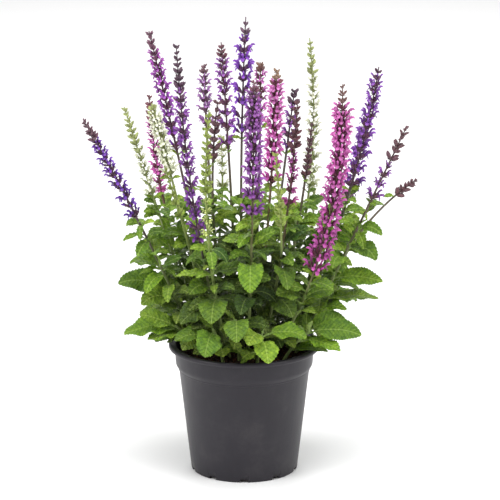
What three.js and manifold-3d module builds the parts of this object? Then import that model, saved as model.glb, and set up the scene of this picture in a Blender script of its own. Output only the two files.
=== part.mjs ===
// Perennial salvia in a nursery pot. Millimetres, +Z up, origin at the centre of the pot's flat base.
//
// The plant is a clump of square, leafy stems that stand in plain holes in the compost. Each stem carries a
// flower spike, and a few carry a side branch with a spike of its own. Short leafy shoots fill the foot of
// the clump. A leaf grows out of the face of its stem that looks its way. A spike is one closed body along
// the stem's own curve, with four florets between each two of its waists. Leaves are set by a table where
// they matter and by a seeded rule elsewhere, and each is turned until it is clear of its neighbours.
import * as THREE from "three";
import { mergeVertices } from "three/addons/utils/BufferGeometryUtils.js";
import Module from "manifold-3d";

const wasm = await Module();
wasm.setup();

// ---------------------------------------------------------------- driving dimensions

const POT = {
  height: 164,
  baseRadius: 67,
  bodyTopRadius: 82.4,
  bodyTopZ: 131.5,
  shoulderRadius: 86.3, // where the collar starts, a little above the body
  shoulderRise: 6,
  collarRadius: 87.3,
  rimRadius: 95,
  rimThickness: 5.6,
  rimBead: 1.4, // chamfer round the top of the rolled rim, and a smaller one under it
  rimUnderBead: 0.5,
  rimCrown: 4, // how far in the rim stays at full height
  rimGroove: 1.4, // how far its inner half lies lower
  wall: 1.4,
  floor: 2.2,
  sides: 30,
};
const SLOTS = { count: 10, width: 10, height: 3.8, depth: 9 };
const COMPOST = { level: 150, crown: 4, lump: 1.4, lumpPitch: [9, 8], clearance: 0.4, rings: [1, 0.8, 0.45] };
const HOLE = { depth: 14, radius: 3.8, sides: 4, turn: 0.2 };
const GAP = 0.3; // between touching pieces
const MERGE_WITHIN = 1e-3;

const STEM = { sides: 4, steps: 4, footRadius: 2.3, topRadius: 1.6, crowding: 10, probe: 0.01 };
// A stem roots at a share of the way out to its spike's foot, within a limit, a little above the compost.
const ROOT = { share: 0.42, limit: 66, above: 1 };
const SHOOT_BEND = { out: 0.4, up: 0.5 }; // the middle of a shoot, as shares of the way to its tip

const FLOWER = { pitch: 17, waist: 2.2, taper: [0.94, 0.8] };
const BUD = { pitch: 11, waist: 1.5, taper: [1, 0.45], reach: 6.3, pointUp: 0.72, fewest: 2 };
// The points of a flower: how far out they lie, as a share of its reach, and how far up its whorl.
const FLORET = { lowerLip: [1, 0.26], mouth: [0.5, 0.5], upperLip: [0.84, 0.92] };

const LEAF = {
  thickness: 0.7,
  petioleHalfWidth: 1,
  petioleHalfHeight: 0.5,
  fold: 0.22, // rise of the edge over the rib, as a share of the half width
  rolledBy: 0.45, // the share of its length over which a leaf rolls from level to its own roll
  teethAbove: [38, 74], // past each of these lengths a leaf has one more tooth a side
  toothReach: 1.06,
  notchReach: 0.84,
  tipRoom: 0.35, // of a tooth's pitch, left bare before the tip
  stalkOnStem: 5,
  stalkOnShoot: 14,
  longStalk: 8, // past this a stalk shows as one
  baseBulge: 0.5, // powers of the outline towards the base and the tip, and its greatest height
  tipTaper: 0.75,
  outlinePeak: 0.4396,
};

// Flower spikes. base is the lowest ring of flowers, tip the end of the spike, radius the reach of an open
// flower, and open the share of the spike, from its foot, that is in flower.
const SPIKES = [
  { id: "01", kind: "violet", base: [-132, -35, 333], tip: [-195, -60, 463], radius: 11, open: 0.74 },
  { id: "02", kind: "white", base: [-114, 25, 347], tip: [-150, 45, 457], radius: 9, open: 0.5 },
  { id: "03", kind: "pink", base: [-103, 60, 338], tip: [-120, 95, 461], radius: 9.5, open: 0.7 },
  { id: "04", kind: "white", base: [-91, 5, 378], tip: [-115, 15, 468], radius: 10, open: 0.8 },
  { id: "05", kind: "bud", base: [-79, -25, 334], tip: [-98, -45, 403], radius: 6.5, open: 0 },
  { id: "06", kind: "purple", base: [-84, 40, 401], tip: [-119, 70, 548], radius: 12, open: 0.78 },
  { id: "07", kind: "violet", base: [-53, -60, 304], tip: [-82, -60, 557], radius: 11.5, open: 0.76 },
  { id: "08", kind: "violet", base: [-48, 95, 421], tip: [-51, 125, 494], radius: 10, open: 0.75 },
  { id: "09", kind: "bud", base: [-44, -75, 320], tip: [-42, -100, 486], radius: 7, open: 0.3 },
  { id: "10", kind: "dark", base: [-39, 20, 392], tip: [-33, 20, 469], radius: 7.5, open: 0 },
  { id: "11", kind: "violet", base: [-20, 60, 400], tip: [-29, 80, 532], radius: 12, open: 0.78 },
  { id: "12", kind: "violet", base: [-3, 25, 425], tip: [2, 30, 574], radius: 13.5, open: 0.76 },
  { id: "13", kind: "purple", base: [20, 90, 423], tip: [20, 115, 499], radius: 10.5, open: 0.8 },
  { id: "14", kind: "violet", base: [10, -75, 345], tip: [12, -95, 519], radius: 13.5, open: 0.88 },
  { id: "15", kind: "pink", base: [33, -10, 369], tip: [40, -20, 518], radius: 13, open: 0.86 },
  { id: "16", kind: "violet", base: [53, 45, 401], tip: [63, 60, 475], radius: 10, open: 0.7 },
  { id: "17", kind: "pink", base: [54, -45, 351], tip: [65, -60, 490], radius: 10, open: 0.45 },
  { id: "18", kind: "white", base: [82, 75, 342], tip: [82, 95, 534], radius: 10, open: 0.7 },
  { id: "19", kind: "dark", base: [76, 5, 375], tip: [84, 10, 445], radius: 6.5, open: 0 },
  { id: "20", kind: "pink", base: [85, -65, 270], tip: [119, -80, 513], radius: 15.5, open: 0.86 },
  { id: "21", kind: "violet", base: [133, 20, 359], tip: [167, 30, 511], radius: 13, open: 0.86 },
  { id: "22", kind: "violet", base: [129, 65, 332], tip: [154, 95, 431], radius: 11.5, open: 0.85 },
  { id: "23", kind: "violet", base: [157, -20, 353], tip: [200, -30, 450], radius: 10.5, open: 0.45 },
  { id: "24", kind: "dark", base: [190, 30, 347], tip: [217, 40, 365], radius: 5.5, open: 0 },
  { id: "25", kind: "bud", base: [45, -85, 335], tip: [38, -115, 436], radius: 6.5, open: 0 },
  { id: "26", kind: "white", base: [-28, 105, 337], tip: [-30, 140, 399], radius: 9, open: 0.7 },
  { id: "27", kind: "white", base: [85, 110, 275], tip: [83, 150, 376], radius: 9, open: 0.7 },
];

// Spikes with no root of their own: side branches, each with the stem that it leaves and the height there.
const BRANCHES = [
  { id: "05", from: "04", height: 270 },
  { id: "24", from: "23", height: 262 },
  { id: "25", from: "17", height: 286 },
  { id: "26", from: "08", height: 262 },
  { id: "27", from: "18", height: 215 },
];

// Leafy shoots with no flower: where they root, and where their tips end.
const SHOOTS = [
  { id: "a", root: [-46, -26], tip: [-86, -45, 199] },
  { id: "b", root: [-56, 12], tip: [-93, 8, 231] },
  { id: "c", root: [-26, -52], tip: [-38, -73, 203] },
  { id: "d", root: [16, -60], tip: [22, -81, 200] },
  { id: "e", root: [50, -38], tip: [84, -59, 198] },
  { id: "f", root: [52, 40], tip: [94, 67, 214] },
  { id: "g", root: [4, 64], tip: [6, 101, 207] },
  { id: "h", root: [-42, 50], tip: [-75, 85, 212] },
  { id: "i", root: [-6, -46], tip: [-10, -77, 216] },
];

// Leaves set by hand: the stem or shoot they grow on, the height there, the heading (0 is +X, 90 is +Y),
// the rise above the horizontal where they leave the stem, the angle they bend down through, length and
// width.
const SET_LEAVES = [
  ["a", 188, 184, 30, 62, 80, 31],
  ["a", 180, 202, 34, 60, 64, 29],
  ["a", 194, 164, 24, 26, 70, 30],
  ["b", 222, 182, 48, 70, 78, 32],
  ["b", 212, 140, 40, 60, 62, 30],
  ["b", 226, 215, 52, 40, 58, 32],
  ["b", 196, 160, 20, 46, 66, 30],
  ["c", 198, 256, 22, 88, 56, 36],
  ["c", 186, 196, 34, 60, 58, 30],
  ["c", 176, 286, 8, 42, 34, 22],
  ["d", 194, 350, 34, 66, 60, 30],
  ["d", 190, 284, 16, 86, 48, 32],
  ["d", 172, 232, 12, 36, 32, 20],
  ["d", 196, 246, 40, 86, 44, 27],
  ["e", 192, 352, 22, 44, 70, 30],
  ["e", 182, 332, 28, 44, 70, 28],
  ["e", 194, 296, 30, 92, 46, 30],
  ["e", 190, 24, 40, 50, 62, 30],
  ["f", 206, 30, 12, 50, 72, 32],
  ["f", 196, 62, 18, 52, 66, 32],
  ["f", 210, 350, 44, 50, 64, 30],
  ["f", 186, 95, 22, 60, 54, 28],
  ["g", 202, 92, 34, 66, 68, 34],
  ["g", 194, 62, 18, 56, 58, 30],
  ["g", 198, 128, 30, 60, 62, 32],
  ["h", 202, 134, 16, 50, 70, 34],
  ["h", 196, 160, 20, 56, 66, 32],
  ["h", 188, 106, 20, 60, 58, 30],
  ["h", 208, 190, 40, 60, 58, 28],
  ["i", 212, 272, 34, 104, 56, 34],
  ["i", 200, 196, 26, 76, 56, 32],
  ["i", 200, 338, 24, 80, 54, 32],
  ["i", 184, 236, 14, 76, 42, 26],
  ["09", 270, 182, 18, 26, 58, 20],
  ["09", 270, 4, 34, 52, 44, 24],
  ["09", 236, 262, 16, 84, 50, 37],
  ["14", 282, 268, 26, 116, 56, 33],
  ["14", 282, 92, 50, 50, 36, 20],
  ["14", 306, 12, 50, 34, 36, 18],
  ["14", 306, 192, 46, 60, 40, 20],
  ["17", 268, 285, 40, 122, 52, 30],
  ["17", 300, 350, 58, 40, 42, 24],
  ["04", 300, 216, 50, 96, 46, 32],
  ["01", 268, 168, 42, 74, 44, 32],
  ["01", 268, 348, 50, 40, 30, 18],
  ["07", 250, 240, 40, 90, 44, 28],
  ["07", 216, 206, 34, 92, 54, 32],
  ["07", 216, 336, 40, 96, 44, 28],
  ["01", 226, 214, 30, 84, 56, 32],
  ["01", 226, 150, 40, 70, 52, 28],
  ["10", 244, 250, 60, 100, 46, 28],
  ["15", 252, 262, 60, 104, 48, 30],
  ["17", 226, 300, 36, 96, 54, 32],
  ["17", 226, 230, 40, 100, 46, 28],
  ["19", 240, 290, 56, 96, 46, 28],
  ["14", 236, 236, 30, 96, 50, 30],
  ["20", 236, 20, 40, 60, 44, 26],
  ["20", 236, 200, 50, 70, 40, 24],
  ["23", 292, 330, 30, 96, 46, 25],
  ["23", 252, 345, 14, 30, 64, 26],
  ["23", 222, 2, 18, 34, 72, 28],
  ["23", 222, 262, 40, 96, 50, 30],
  ["21", 290, 8, 46, 64, 48, 26],
  ["21", 290, 188, 50, 60, 32, 20],
  ["22", 262, 50, 40, 66, 54, 30],
];

// Rule for the other leaves: opposite pairs, each turned a quarter from the last, that shrink with height.
const RULE = {
  seed: 20,
  firstZ: 184,
  pitchZ: 46,
  lastZ: 330,
  underSpike: 14,
  jitterZ: 14,
  rise: [20, 60],
  droop: [60, 115],
  nodeGap: 14,
  longest: 62,
  shortest: 38,
  lengthSpread: [0.85, 1.1],
  widthShare: [0.54, 0.42],
  stalk: [9, 4],
};
// How a leaf looks for room: the most that it turns, rises and shrinks by the last try. A leaf that grows
// to a side rolls its face to the front by up to face degrees, and any leaf rolls by up to half of roll
// either way.
const SETTLE = { tries: 36, turn: 110, rise: 70, shrink: 0.38, face: 40, roll: 56 };
// Where a leaf is tested, in rows along it and columns across it, and the room that it needs there.
const GRID = { rows: 12, firstRow: 1, columns: [-1, -0.67, -0.33, 0, 0.33, 0.67, 1] };
const CLEAR = {
  leafPoint: 2.6,
  stemPoint: 3.2,
  stemStep: 4,
  floretMargin: 1.5,
  rimPoint: 5,
  rimPoints: 72,
  rimInset: 4,
  rimDepth: 2,
  overCompost: 6,
  underRim: 12,
  ownShare: 0.7, // of these distances, kept between leaves of one stem
  ownLeafRow: 1, // from this row of points out
  ownStemRow: 5,
  otherRow: 2,
};

const COLOURS = {
  pot: { color: 0x2c2b2f, roughness: 0.5, metalness: 0 },
  compost: { color: 0x1a1310, roughness: 1, metalness: 0 },
  stem: { color: 0x5a8a2e, roughness: 0.6, metalness: 0 },
  violet: { color: 0x5a2fa8, roughness: 0.6, metalness: 0 },
  purple: { color: 0x9140b4, roughness: 0.6, metalness: 0 },
  pink: { color: 0xc24aa8, roughness: 0.6, metalness: 0 },
  white: { color: 0xe6ecc8, roughness: 0.6, metalness: 0 },
  bud: { color: 0xa4b95a, roughness: 0.6, metalness: 0 },
  dark: { color: 0x5b3a44, roughness: 0.6, metalness: 0 },
};

// ---------------------------------------------------------------- small tools

const radians = (degrees) => (degrees * Math.PI) / 180;
const mix = (a, b, share) => a + (b - a) * share;

// A seeded stream of numbers from 0 to 1.
function randomStream(seed) {
  let a = seed >>> 0;
  return () => {
    a = (a + 0x6d2b79f5) >>> 0;
    let t = Math.imul(a ^ (a >>> 15), 1 | a);
    t ^= t + Math.imul(t ^ (t >>> 7), 61 | t);
    return ((t ^ (t >>> 14)) >>> 0) / 4294967296;
  };
}

// An indexed geometry from a list of points and a list of triangles.
function geometryOf(points, triangles) {
  const geometry = new THREE.BufferGeometry();
  const coordinates = points.flatMap((p) => [p.x, p.y, p.z]);
  geometry.setAttribute("position", new THREE.Float32BufferAttribute(coordinates, 3));
  geometry.setIndex(triangles.flat());
  return geometry;
}

// A closed geometry as a solid that can be joined and cut.
function solidOf(geometry) {
  const bare = geometry.clone();
  bare.deleteAttribute("normal");
  bare.deleteAttribute("uv");
  const merged = mergeVertices(bare, MERGE_WITHIN);
  return new wasm.Manifold(
    new wasm.Mesh({
      numProp: 3,
      vertProperties: merged.attributes.position.array,
      triVerts: new Uint32Array(merged.index.array),
    }),
  );
}

// The same back again, as a geometry.
function geometryFrom(solid) {
  const mesh = solid.getMesh();
  const geometry = new THREE.BufferGeometry();
  const positions = new Float32Array(mesh.numVert * 3);
  for (let i = 0; i < mesh.numVert; i++) {
    positions.set(mesh.vertProperties.subarray(i * mesh.numProp, i * mesh.numProp + 3), i * 3);
  }
  geometry.setAttribute("position", new THREE.BufferAttribute(positions, 3));
  geometry.setIndex(new THREE.BufferAttribute(mesh.triVerts, 1));
  return geometry;
}

// ---------------------------------------------------------------- stems and shoots as curves

const vector = ([x, y, z]) => new THREE.Vector3(x, y, z);

// The smooth curve through a foot, a middle point and a tip, which the three weights below blend.
function curveThrough(foot, middle, tip) {
  const lower = foot.distanceTo(middle);
  const share = lower / (lower + middle.distanceTo(tip));
  return {
    share,
    at(t) {
      const point = foot.clone().multiplyScalar(((t - share) * (t - 1)) / share);
      point.addScaledVector(middle, (t * (t - 1)) / (share * (share - 1)));
      return point.addScaledVector(tip, (t * (t - share)) / (1 - share));
    },
  };
}

// The share of the curve at which it reaches a height, by halving.
function shareAtHeight(curve, z) {
  let low = 0;
  let high = 1;
  for (let halving = 0; halving < 24; halving++) {
    const middle = (low + high) / 2;
    if (curve.at(middle).z < z) low = middle;
    else high = middle;
  }
  return (low + high) / 2;
}

// The length of a stem and its spike together, near enough.
function spanOf(stem) {
  return stem.foot.distanceTo(stem.curve.at(stem.end)) / stem.end;
}

// The height of the compost: a low crown with soft lumps on it.
function compostTop(x, y) {
  const out = Math.hypot(x, y) / POT.bodyTopRadius;
  const lump = Math.sin(x / COMPOST.lumpPitch[0] + 1) * Math.cos(y / COMPOST.lumpPitch[1]);
  return COMPOST.level + COMPOST.crown * (1 - out * out) + COMPOST.lump * lump;
}

function rootOf(x, y) {
  const reach = Math.hypot(x, y);
  const shrink = reach > ROOT.limit ? ROOT.limit / reach : 1;
  return new THREE.Vector3(x * shrink, y * shrink, compostTop(x * shrink, y * shrink) + ROOT.above);
}

// Every stem, branch and shoot as a curve: stems first, so that a branch finds the stem it leaves. end is
// the share of the curve at which the stem ends and its spike starts. fork says where a branch leaves its
// stem.
function growStems() {
  const stems = new Map();
  for (const spike of SPIKES.filter((s) => !BRANCHES.some((branch) => branch.id === s.id))) {
    const foot = rootOf(spike.base[0] * ROOT.share, spike.base[1] * ROOT.share);
    const curve = curveThrough(foot, vector(spike.base), vector(spike.tip));
    stems.set(spike.id, { id: spike.id, owner: spike.id, foot, curve, end: curve.share, spike });
  }
  for (const { id, from, height } of BRANCHES) {
    const spike = SPIKES.find((s) => s.id === id);
    const parent = stems.get(from);
    const t = shareAtHeight(parent.curve, height);
    const foot = parent.curve.at(t);
    const curve = curveThrough(foot, vector(spike.base), vector(spike.tip));
    const away = curve.at(curve.share / STEM.steps).sub(foot);
    const fork = { t, heading: Math.atan2(away.y, away.x) };
    stems.set(id, { id, owner: from, foot, curve, end: curve.share, spike, fork });
  }
  for (const shoot of SHOOTS) {
    const foot = rootOf(...shoot.root);
    const tip = vector(shoot.tip);
    const middle = foot.clone().lerp(tip, SHOOT_BEND.out).setZ(mix(foot.z, tip.z, SHOOT_BEND.up));
    const curve = curveThrough(foot, middle, tip);
    stems.set(shoot.id, { id: shoot.id, owner: shoot.id, foot, curve, end: 1 });
  }
  return stems;
}

// ---------------------------------------------------------------- leaves

// A point on a leaf and the frame there. u runs from the stem to the leaf's tip along an arc, and v across
// it.
function leafFrame(leaf, u) {
  const pitch = leaf.rise - leaf.droop * u;
  const out = (leaf.length * (Math.sin(leaf.rise) - Math.sin(pitch))) / leaf.droop;
  const up = (leaf.length * (Math.cos(pitch) - Math.cos(leaf.rise))) / leaf.droop;
  const ahead = new THREE.Vector3(Math.cos(leaf.heading), Math.sin(leaf.heading), 0);
  const across = new THREE.Vector3(-ahead.y, ahead.x, 0);
  const along = ahead.clone().multiplyScalar(Math.cos(pitch)).setZ(Math.sin(pitch));
  const normal = new THREE.Vector3().crossVectors(along, across);
  const roll = leaf.roll * Math.min(1, u / LEAF.rolledBy);
  const side = across.clone().multiplyScalar(Math.cos(roll)).addScaledVector(normal, Math.sin(roll));
  return {
    centre: leaf.from.clone().addScaledVector(ahead, out).setZ(leaf.from.z + up),
    side,
    normal: new THREE.Vector3().crossVectors(along, side),
  };
}

// Half the leaf's width: a narrow stalk, then a blade that is widest at two fifths of its length.
function halfWidth(leaf, u) {
  if (u <= leaf.stalk) return LEAF.petioleHalfWidth;
  const q = (u - leaf.stalk) / (1 - leaf.stalk);
  const blade = (Math.pow(q, LEAF.baseBulge) * Math.pow(1 - q, LEAF.tipTaper)) / LEAF.outlinePeak;
  return Math.max(LEAF.petioleHalfWidth * (1 - q), (leaf.width / 2) * blade);
}

function leafPoint(leaf, u, v, lift = 0) {
  const { centre, side, normal } = leafFrame(leaf, u);
  const half = halfWidth(leaf, u);
  const height = LEAF.fold * Math.abs(v) * half + lift;
  return centre.addScaledVector(side, v * half).addScaledVector(normal, height);
}

// The points that stand for a leaf when room is tested.
function leafSamples(leaf) {
  const samples = [];
  for (let i = GRID.firstRow; i <= GRID.rows; i++) {
    for (const v of GRID.columns) samples.push(leafPoint(leaf, i / GRID.rows, v));
  }
  return samples;
}

// Adds one toothed blade to the points and triangles of a stem. root holds the four corners of the stem's
// face that the blade grows from. Both faces of the blade have the same triangles, and a rim joins them.
function addLeaf(leaf, root, points, triangles) {
  const teeth = 1 + LEAF.teethAbove.filter((length) => leaf.length > length).length;
  const pitch = 1 / (teeth + LEAF.tipRoom);
  const addPair = (u, v) => {
    const top = points.push(leafPoint(leaf, u, v, LEAF.thickness / 2)) - 1;
    const bottom = points.push(leafPoint(leaf, u, v, -LEAF.thickness / 2)) - 1;
    return { top, bottom };
  };
  const addStation = (q, reach) => {
    const u = mix(leaf.stalk, 1, q);
    return { u, left: addPair(u, reach), right: addPair(u, -reach) };
  };
  const stations = [root];
  const faces = [];
  let edge = root;
  let rib = null;
  if (leaf.stalk * leaf.length > LEAF.longStalk) {
    edge = addStation(0, 1);
    stations.push(edge);
    faces.push([root.right, edge.right, edge.left], [root.right, edge.left, root.left]);
  }
  for (let i = 0; i < teeth; i++) {
    const tooth = addStation((i + 0.5) * pitch, LEAF.toothReach);
    const middle = addPair(tooth.u, 0);
    if (rib === null) faces.push([edge.right, middle, edge.left]);
    else faces.push([rib, middle, edge.left], [rib, edge.right, middle]);
    faces.push([edge.left, middle, tooth.left], [edge.right, tooth.right, middle]);
    rib = middle;
    const notch = addStation((i + 1) * pitch, LEAF.notchReach);
    faces.push([rib, notch.left, tooth.left], [rib, tooth.right, notch.right]);
    stations.push(tooth, notch);
    edge = notch;
  }
  const tip = addPair(1, 0);
  faces.push([rib, tip, edge.left], [rib, edge.right, tip]);
  for (const [a, b, c] of faces) {
    triangles.push([a.top, b.top, c.top], [a.bottom, c.bottom, b.bottom]);
  }
  const outline = [...stations.map((s) => s.right), tip, ...stations.map((s) => s.left).reverse()];
  for (let i = 0; i + 1 < outline.length; i++) {
    const [a, b] = [outline[i], outline[i + 1]];
    triangles.push([a.top, a.bottom, b.bottom], [a.top, b.bottom, b.top]);
  }
}

// ---------------------------------------------------------------- where the leaves go

// Points that a leaf keeps clear of, each with its owner. A leaf may come nearer to its own stem.
function standingObstacles(stems) {
  const obstacles = [];
  for (const stem of stems.values()) {
    const steps = Math.ceil((spanOf(stem) * stem.end) / CLEAR.stemStep);
    for (let i = 0; i <= steps; i++) {
      const point = stem.curve.at((stem.end * i) / steps);
      obstacles.push({ point, reach: CLEAR.stemPoint, owner: stem.id });
    }
    if (!stem.spike) continue;
    for (const whorl of whorlsOf(stem)) {
      const reach = whorl.radius + CLEAR.floretMargin;
      obstacles.push({ point: stem.curve.at((whorl.t + whorl.next) / 2), reach, owner: "spike" });
    }
  }
  const rim = POT.rimRadius - CLEAR.rimInset;
  const rimZ = POT.height - CLEAR.rimDepth;
  for (let i = 0; i < CLEAR.rimPoints; i++) {
    const angle = (2 * Math.PI * i) / CLEAR.rimPoints;
    const point = new THREE.Vector3(rim * Math.cos(angle), rim * Math.sin(angle), rimZ);
    obstacles.push({ point, reach: CLEAR.rimPoint, owner: "pot" });
  }
  return obstacles;
}

// Whether a leaf's points clear the compost, the pot, all other stems and spikes, and the leaves there are.
function hasRoom(samples, owner, obstacles) {
  for (const p of samples) {
    const overPot = Math.hypot(p.x, p.y) < POT.rimRadius;
    const floor = overPot ? compostTop(p.x, p.y) + CLEAR.overCompost : POT.height - CLEAR.underRim;
    if (p.z < floor) return false;
  }
  for (const o of obstacles) {
    const own = o.owner === owner;
    const reach = (o.reach + CLEAR.leafPoint) * (own ? CLEAR.ownShare : 1);
    const row = own ? (o.blade ? CLEAR.ownLeafRow : CLEAR.ownStemRow) : CLEAR.otherRow;
    for (let i = (row - GRID.firstRow) * GRID.columns.length; i < samples.length; i++) {
      if (samples[i].distanceToSquared(o.point) < reach * reach) return false;
    }
  }
  return true;
}

function makeLeaf(stem, z, heading, rise, droop, length, width, roll, stalkLength) {
  const t = shareAtHeight(stem.curve, z);
  return {
    owner: stem.owner,
    t,
    from: stem.curve.at(t),
    heading: radians(heading),
    rise: radians(rise),
    droop: radians(droop),
    roll: radians(roll),
    length,
    width,
    stalk: stalkLength / length,
  };
}

// Tries the leaf as given, then turned, raised and shortened a little more each time, and keeps the first
// fit.
function settleLeaf(wish, stem, obstacles, leaves, random) {
  for (let attempt = 0; attempt < SETTLE.tries; attempt++) {
    const spread = attempt / SETTLE.tries;
    const turn = (random() - 0.5) * SETTLE.turn * spread;
    const raise = (random() - 0.5) * SETTLE.rise * spread;
    const heading = wish.heading + turn;
    const roll = SETTLE.face * Math.cos(radians(heading)) + (random() - 0.5) * SETTLE.roll;
    const size = 1 - SETTLE.shrink * spread;
    const leaf = makeLeaf(
      stem,
      wish.z,
      heading,
      wish.rise + raise,
      wish.droop,
      wish.length * size,
      wish.width * size,
      roll,
      wish.stalk,
    );
    const samples = leafSamples(leaf);
    if (!hasRoom(samples, leaf.owner, obstacles)) continue;
    leaves.push(leaf);
    const { owner } = leaf;
    obstacles.push(...samples.map((point) => ({ point, reach: CLEAR.leafPoint, owner, blade: true })));
    return;
  }
}

const branchesOf = (stem, stems) => [...stems.values()].filter((s) => s.fork && s.owner === stem.id);

// Where on a stem's curve something already sprouts.
function nodesOf(stem, leaves, stems) {
  const own = leaves.filter((leaf) => leaf.owner === stem.id).map((leaf) => leaf.t);
  const forks = branchesOf(stem, stems);
  return [...own, ...forks.map((other) => other.fork.t)];
}

function growLeaves(stems) {
  const random = randomStream(RULE.seed);
  const obstacles = standingObstacles(stems);
  const leaves = [];
  for (const [id, z, heading, rise, droop, length, width] of SET_LEAVES) {
    const stem = stems.get(id);
    const stalk = stem.spike ? LEAF.stalkOnStem : LEAF.stalkOnShoot;
    settleLeaf({ z, heading, rise, droop, length, width, stalk }, stem, obstacles, leaves, random);
  }
  for (const stem of stems.values()) {
    if (!stem.spike || stem.fork) continue;
    const start = random() * 180;
    let pair = 0;
    const lastZ = Math.min(RULE.lastZ, stem.spike.base[2] - RULE.underSpike);
    for (let z = RULE.firstZ; z < lastZ; z += RULE.pitchZ) {
      const height = (z - RULE.firstZ) / (RULE.lastZ - RULE.firstZ);
      const length = mix(RULE.longest, RULE.shortest, height * height) * mix(...RULE.lengthSpread, random());
      const level = z + RULE.jitterZ * (random() - 0.5);
      const t = shareAtHeight(stem.curve, level);
      const tooNear = (node) => Math.abs(node - t) * spanOf(stem) < RULE.nodeGap;
      if (nodesOf(stem, leaves, stems).some(tooNear)) continue;
      for (const turn of [0, 180]) {
        const wish = {
          z: level,
          heading: start + 90 * pair + turn,
          rise: mix(...RULE.rise, random()),
          droop: mix(...RULE.droop, random()),
          length,
          width: length * mix(...RULE.widthShare, height),
          stalk: mix(...RULE.stalk, height),
        };
        settleLeaf(wish, stem, obstacles, leaves, random);
      }
      pair += 1;
    }
  }
  return leaves;
}

// ---------------------------------------------------------------- stems as solids

// Adds a ring of corners round a point, square to the way ahead, and gives the number of the first one. A
// face of the stem looks out halfway between two corners.
function addRing(points, centre, ahead, radius, turn, sides) {
  const b = new THREE.Vector3().crossVectors(ahead, new THREE.Vector3(1, 0, 0)).normalize();
  const a = new THREE.Vector3().crossVectors(b, ahead);
  const first = points.length;
  for (let k = 0; k < sides; k++) {
    const angle = turn + (2 * Math.PI * (k - 0.5)) / sides;
    const p = centre.clone().addScaledVector(a, radius * Math.cos(angle));
    points.push(p.addScaledVector(b, radius * Math.sin(angle)));
  }
  return first;
}

function joinRings(triangles, low, high, sides, leftOpen = []) {
  for (let k = 0; k < sides; k++) {
    if (leftOpen.includes(k)) continue;
    const n = (k + 1) % sides;
    triangles.push([low + k, low + n, high + n], [low + k, high + n, high + k]);
  }
}

function closeRing(triangles, ring, sides, upward) {
  for (let k = 1; k + 1 < sides; k++) {
    triangles.push(upward ? [ring, ring + k, ring + k + 1] : [ring, ring + k + 1, ring + k]);
  }
}

// The turn nearest to the last one that brings a face of a square stem to a heading.
function turnTowards(heading, last) {
  const face = (2 * Math.PI) / STEM.sides;
  return heading + Math.round((last - heading) / face) * face;
}

// The face of a square stem that looks nearest to a heading.
function faceTowards(heading, turn) {
  const face = Math.round(((heading - turn) * STEM.sides) / (2 * Math.PI));
  return ((face % STEM.sides) + STEM.sides) % STEM.sides;
}

// The levels of a stem, from its foot: a plain ring at each step, and a level of its own, which replaces a
// step near it, at each height where something sprouts.
function stemLevels(stem, sprouts) {
  const span = spanOf(stem);
  const top = stem.end - GAP / span;
  const footRadius = stem.fork ? STEM.topRadius : STEM.footRadius;
  const levels = [...new Set(sprouts.map((sprout) => sprout.t))].map((t) => ({
    t,
    sprouts: sprouts.filter((sprout) => sprout.t === t),
  }));
  const crowded = (t) => sprouts.some((sprout) => Math.abs(sprout.t - t) * span < STEM.crowding);
  for (let i = 0; i <= STEM.steps; i++) {
    const t = (top * i) / STEM.steps;
    if (i === 0 || i === STEM.steps || !crowded(t)) levels.push({ t, sprouts: [] });
  }
  levels.sort((a, b) => a.t - b.t);
  return levels.map((level) => ({
    ...level,
    point: stem.curve.at(level.t),
    ahead: stem.curve.at(level.t + STEM.probe).sub(stem.curve.at(level.t - STEM.probe)).normalize(),
    radius: mix(footRadius, STEM.topRadius, level.t / stem.end),
  }));
}

// Joins a face of a stem to the first ring of a branch, corner to corner with the least stretch.
function joinFace(face, ring, points, triangles) {
  const corner = (k, shift) => ring + ((k + shift) % STEM.sides);
  const stretch = (shift) =>
    face.reduce((sum, p, k) => sum + points[p].distanceTo(points[corner(k, shift)]), 0);
  const shift = [0, 1, 2, 3].reduce((best, other) => (stretch(other) < stretch(best) ? other : best));
  for (let k = 0; k < STEM.sides; k++) {
    const n = (k + 1) % STEM.sides;
    triangles.push([face[k], face[n], corner(n, shift)], [face[k], corner(n, shift), corner(k, shift)]);
  }
}

// Adds a bare side branch that grows out of a face of its stem, and closes its top under its spike.
function addBranch(branch, root, points, triangles) {
  const face = [root.right.bottom, root.left.bottom, root.left.top, root.right.top];
  const turn = -Math.PI / STEM.sides;
  let last = null;
  for (const level of stemLevels(branch, []).slice(1)) {
    const ring = addRing(points, level.point, level.ahead, level.radius, turn, STEM.sides);
    if (last === null) joinFace(face, ring, points, triangles);
    else joinRings(triangles, last, ring, STEM.sides);
    last = ring;
  }
  closeRing(triangles, last, STEM.sides, true);
}

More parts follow.
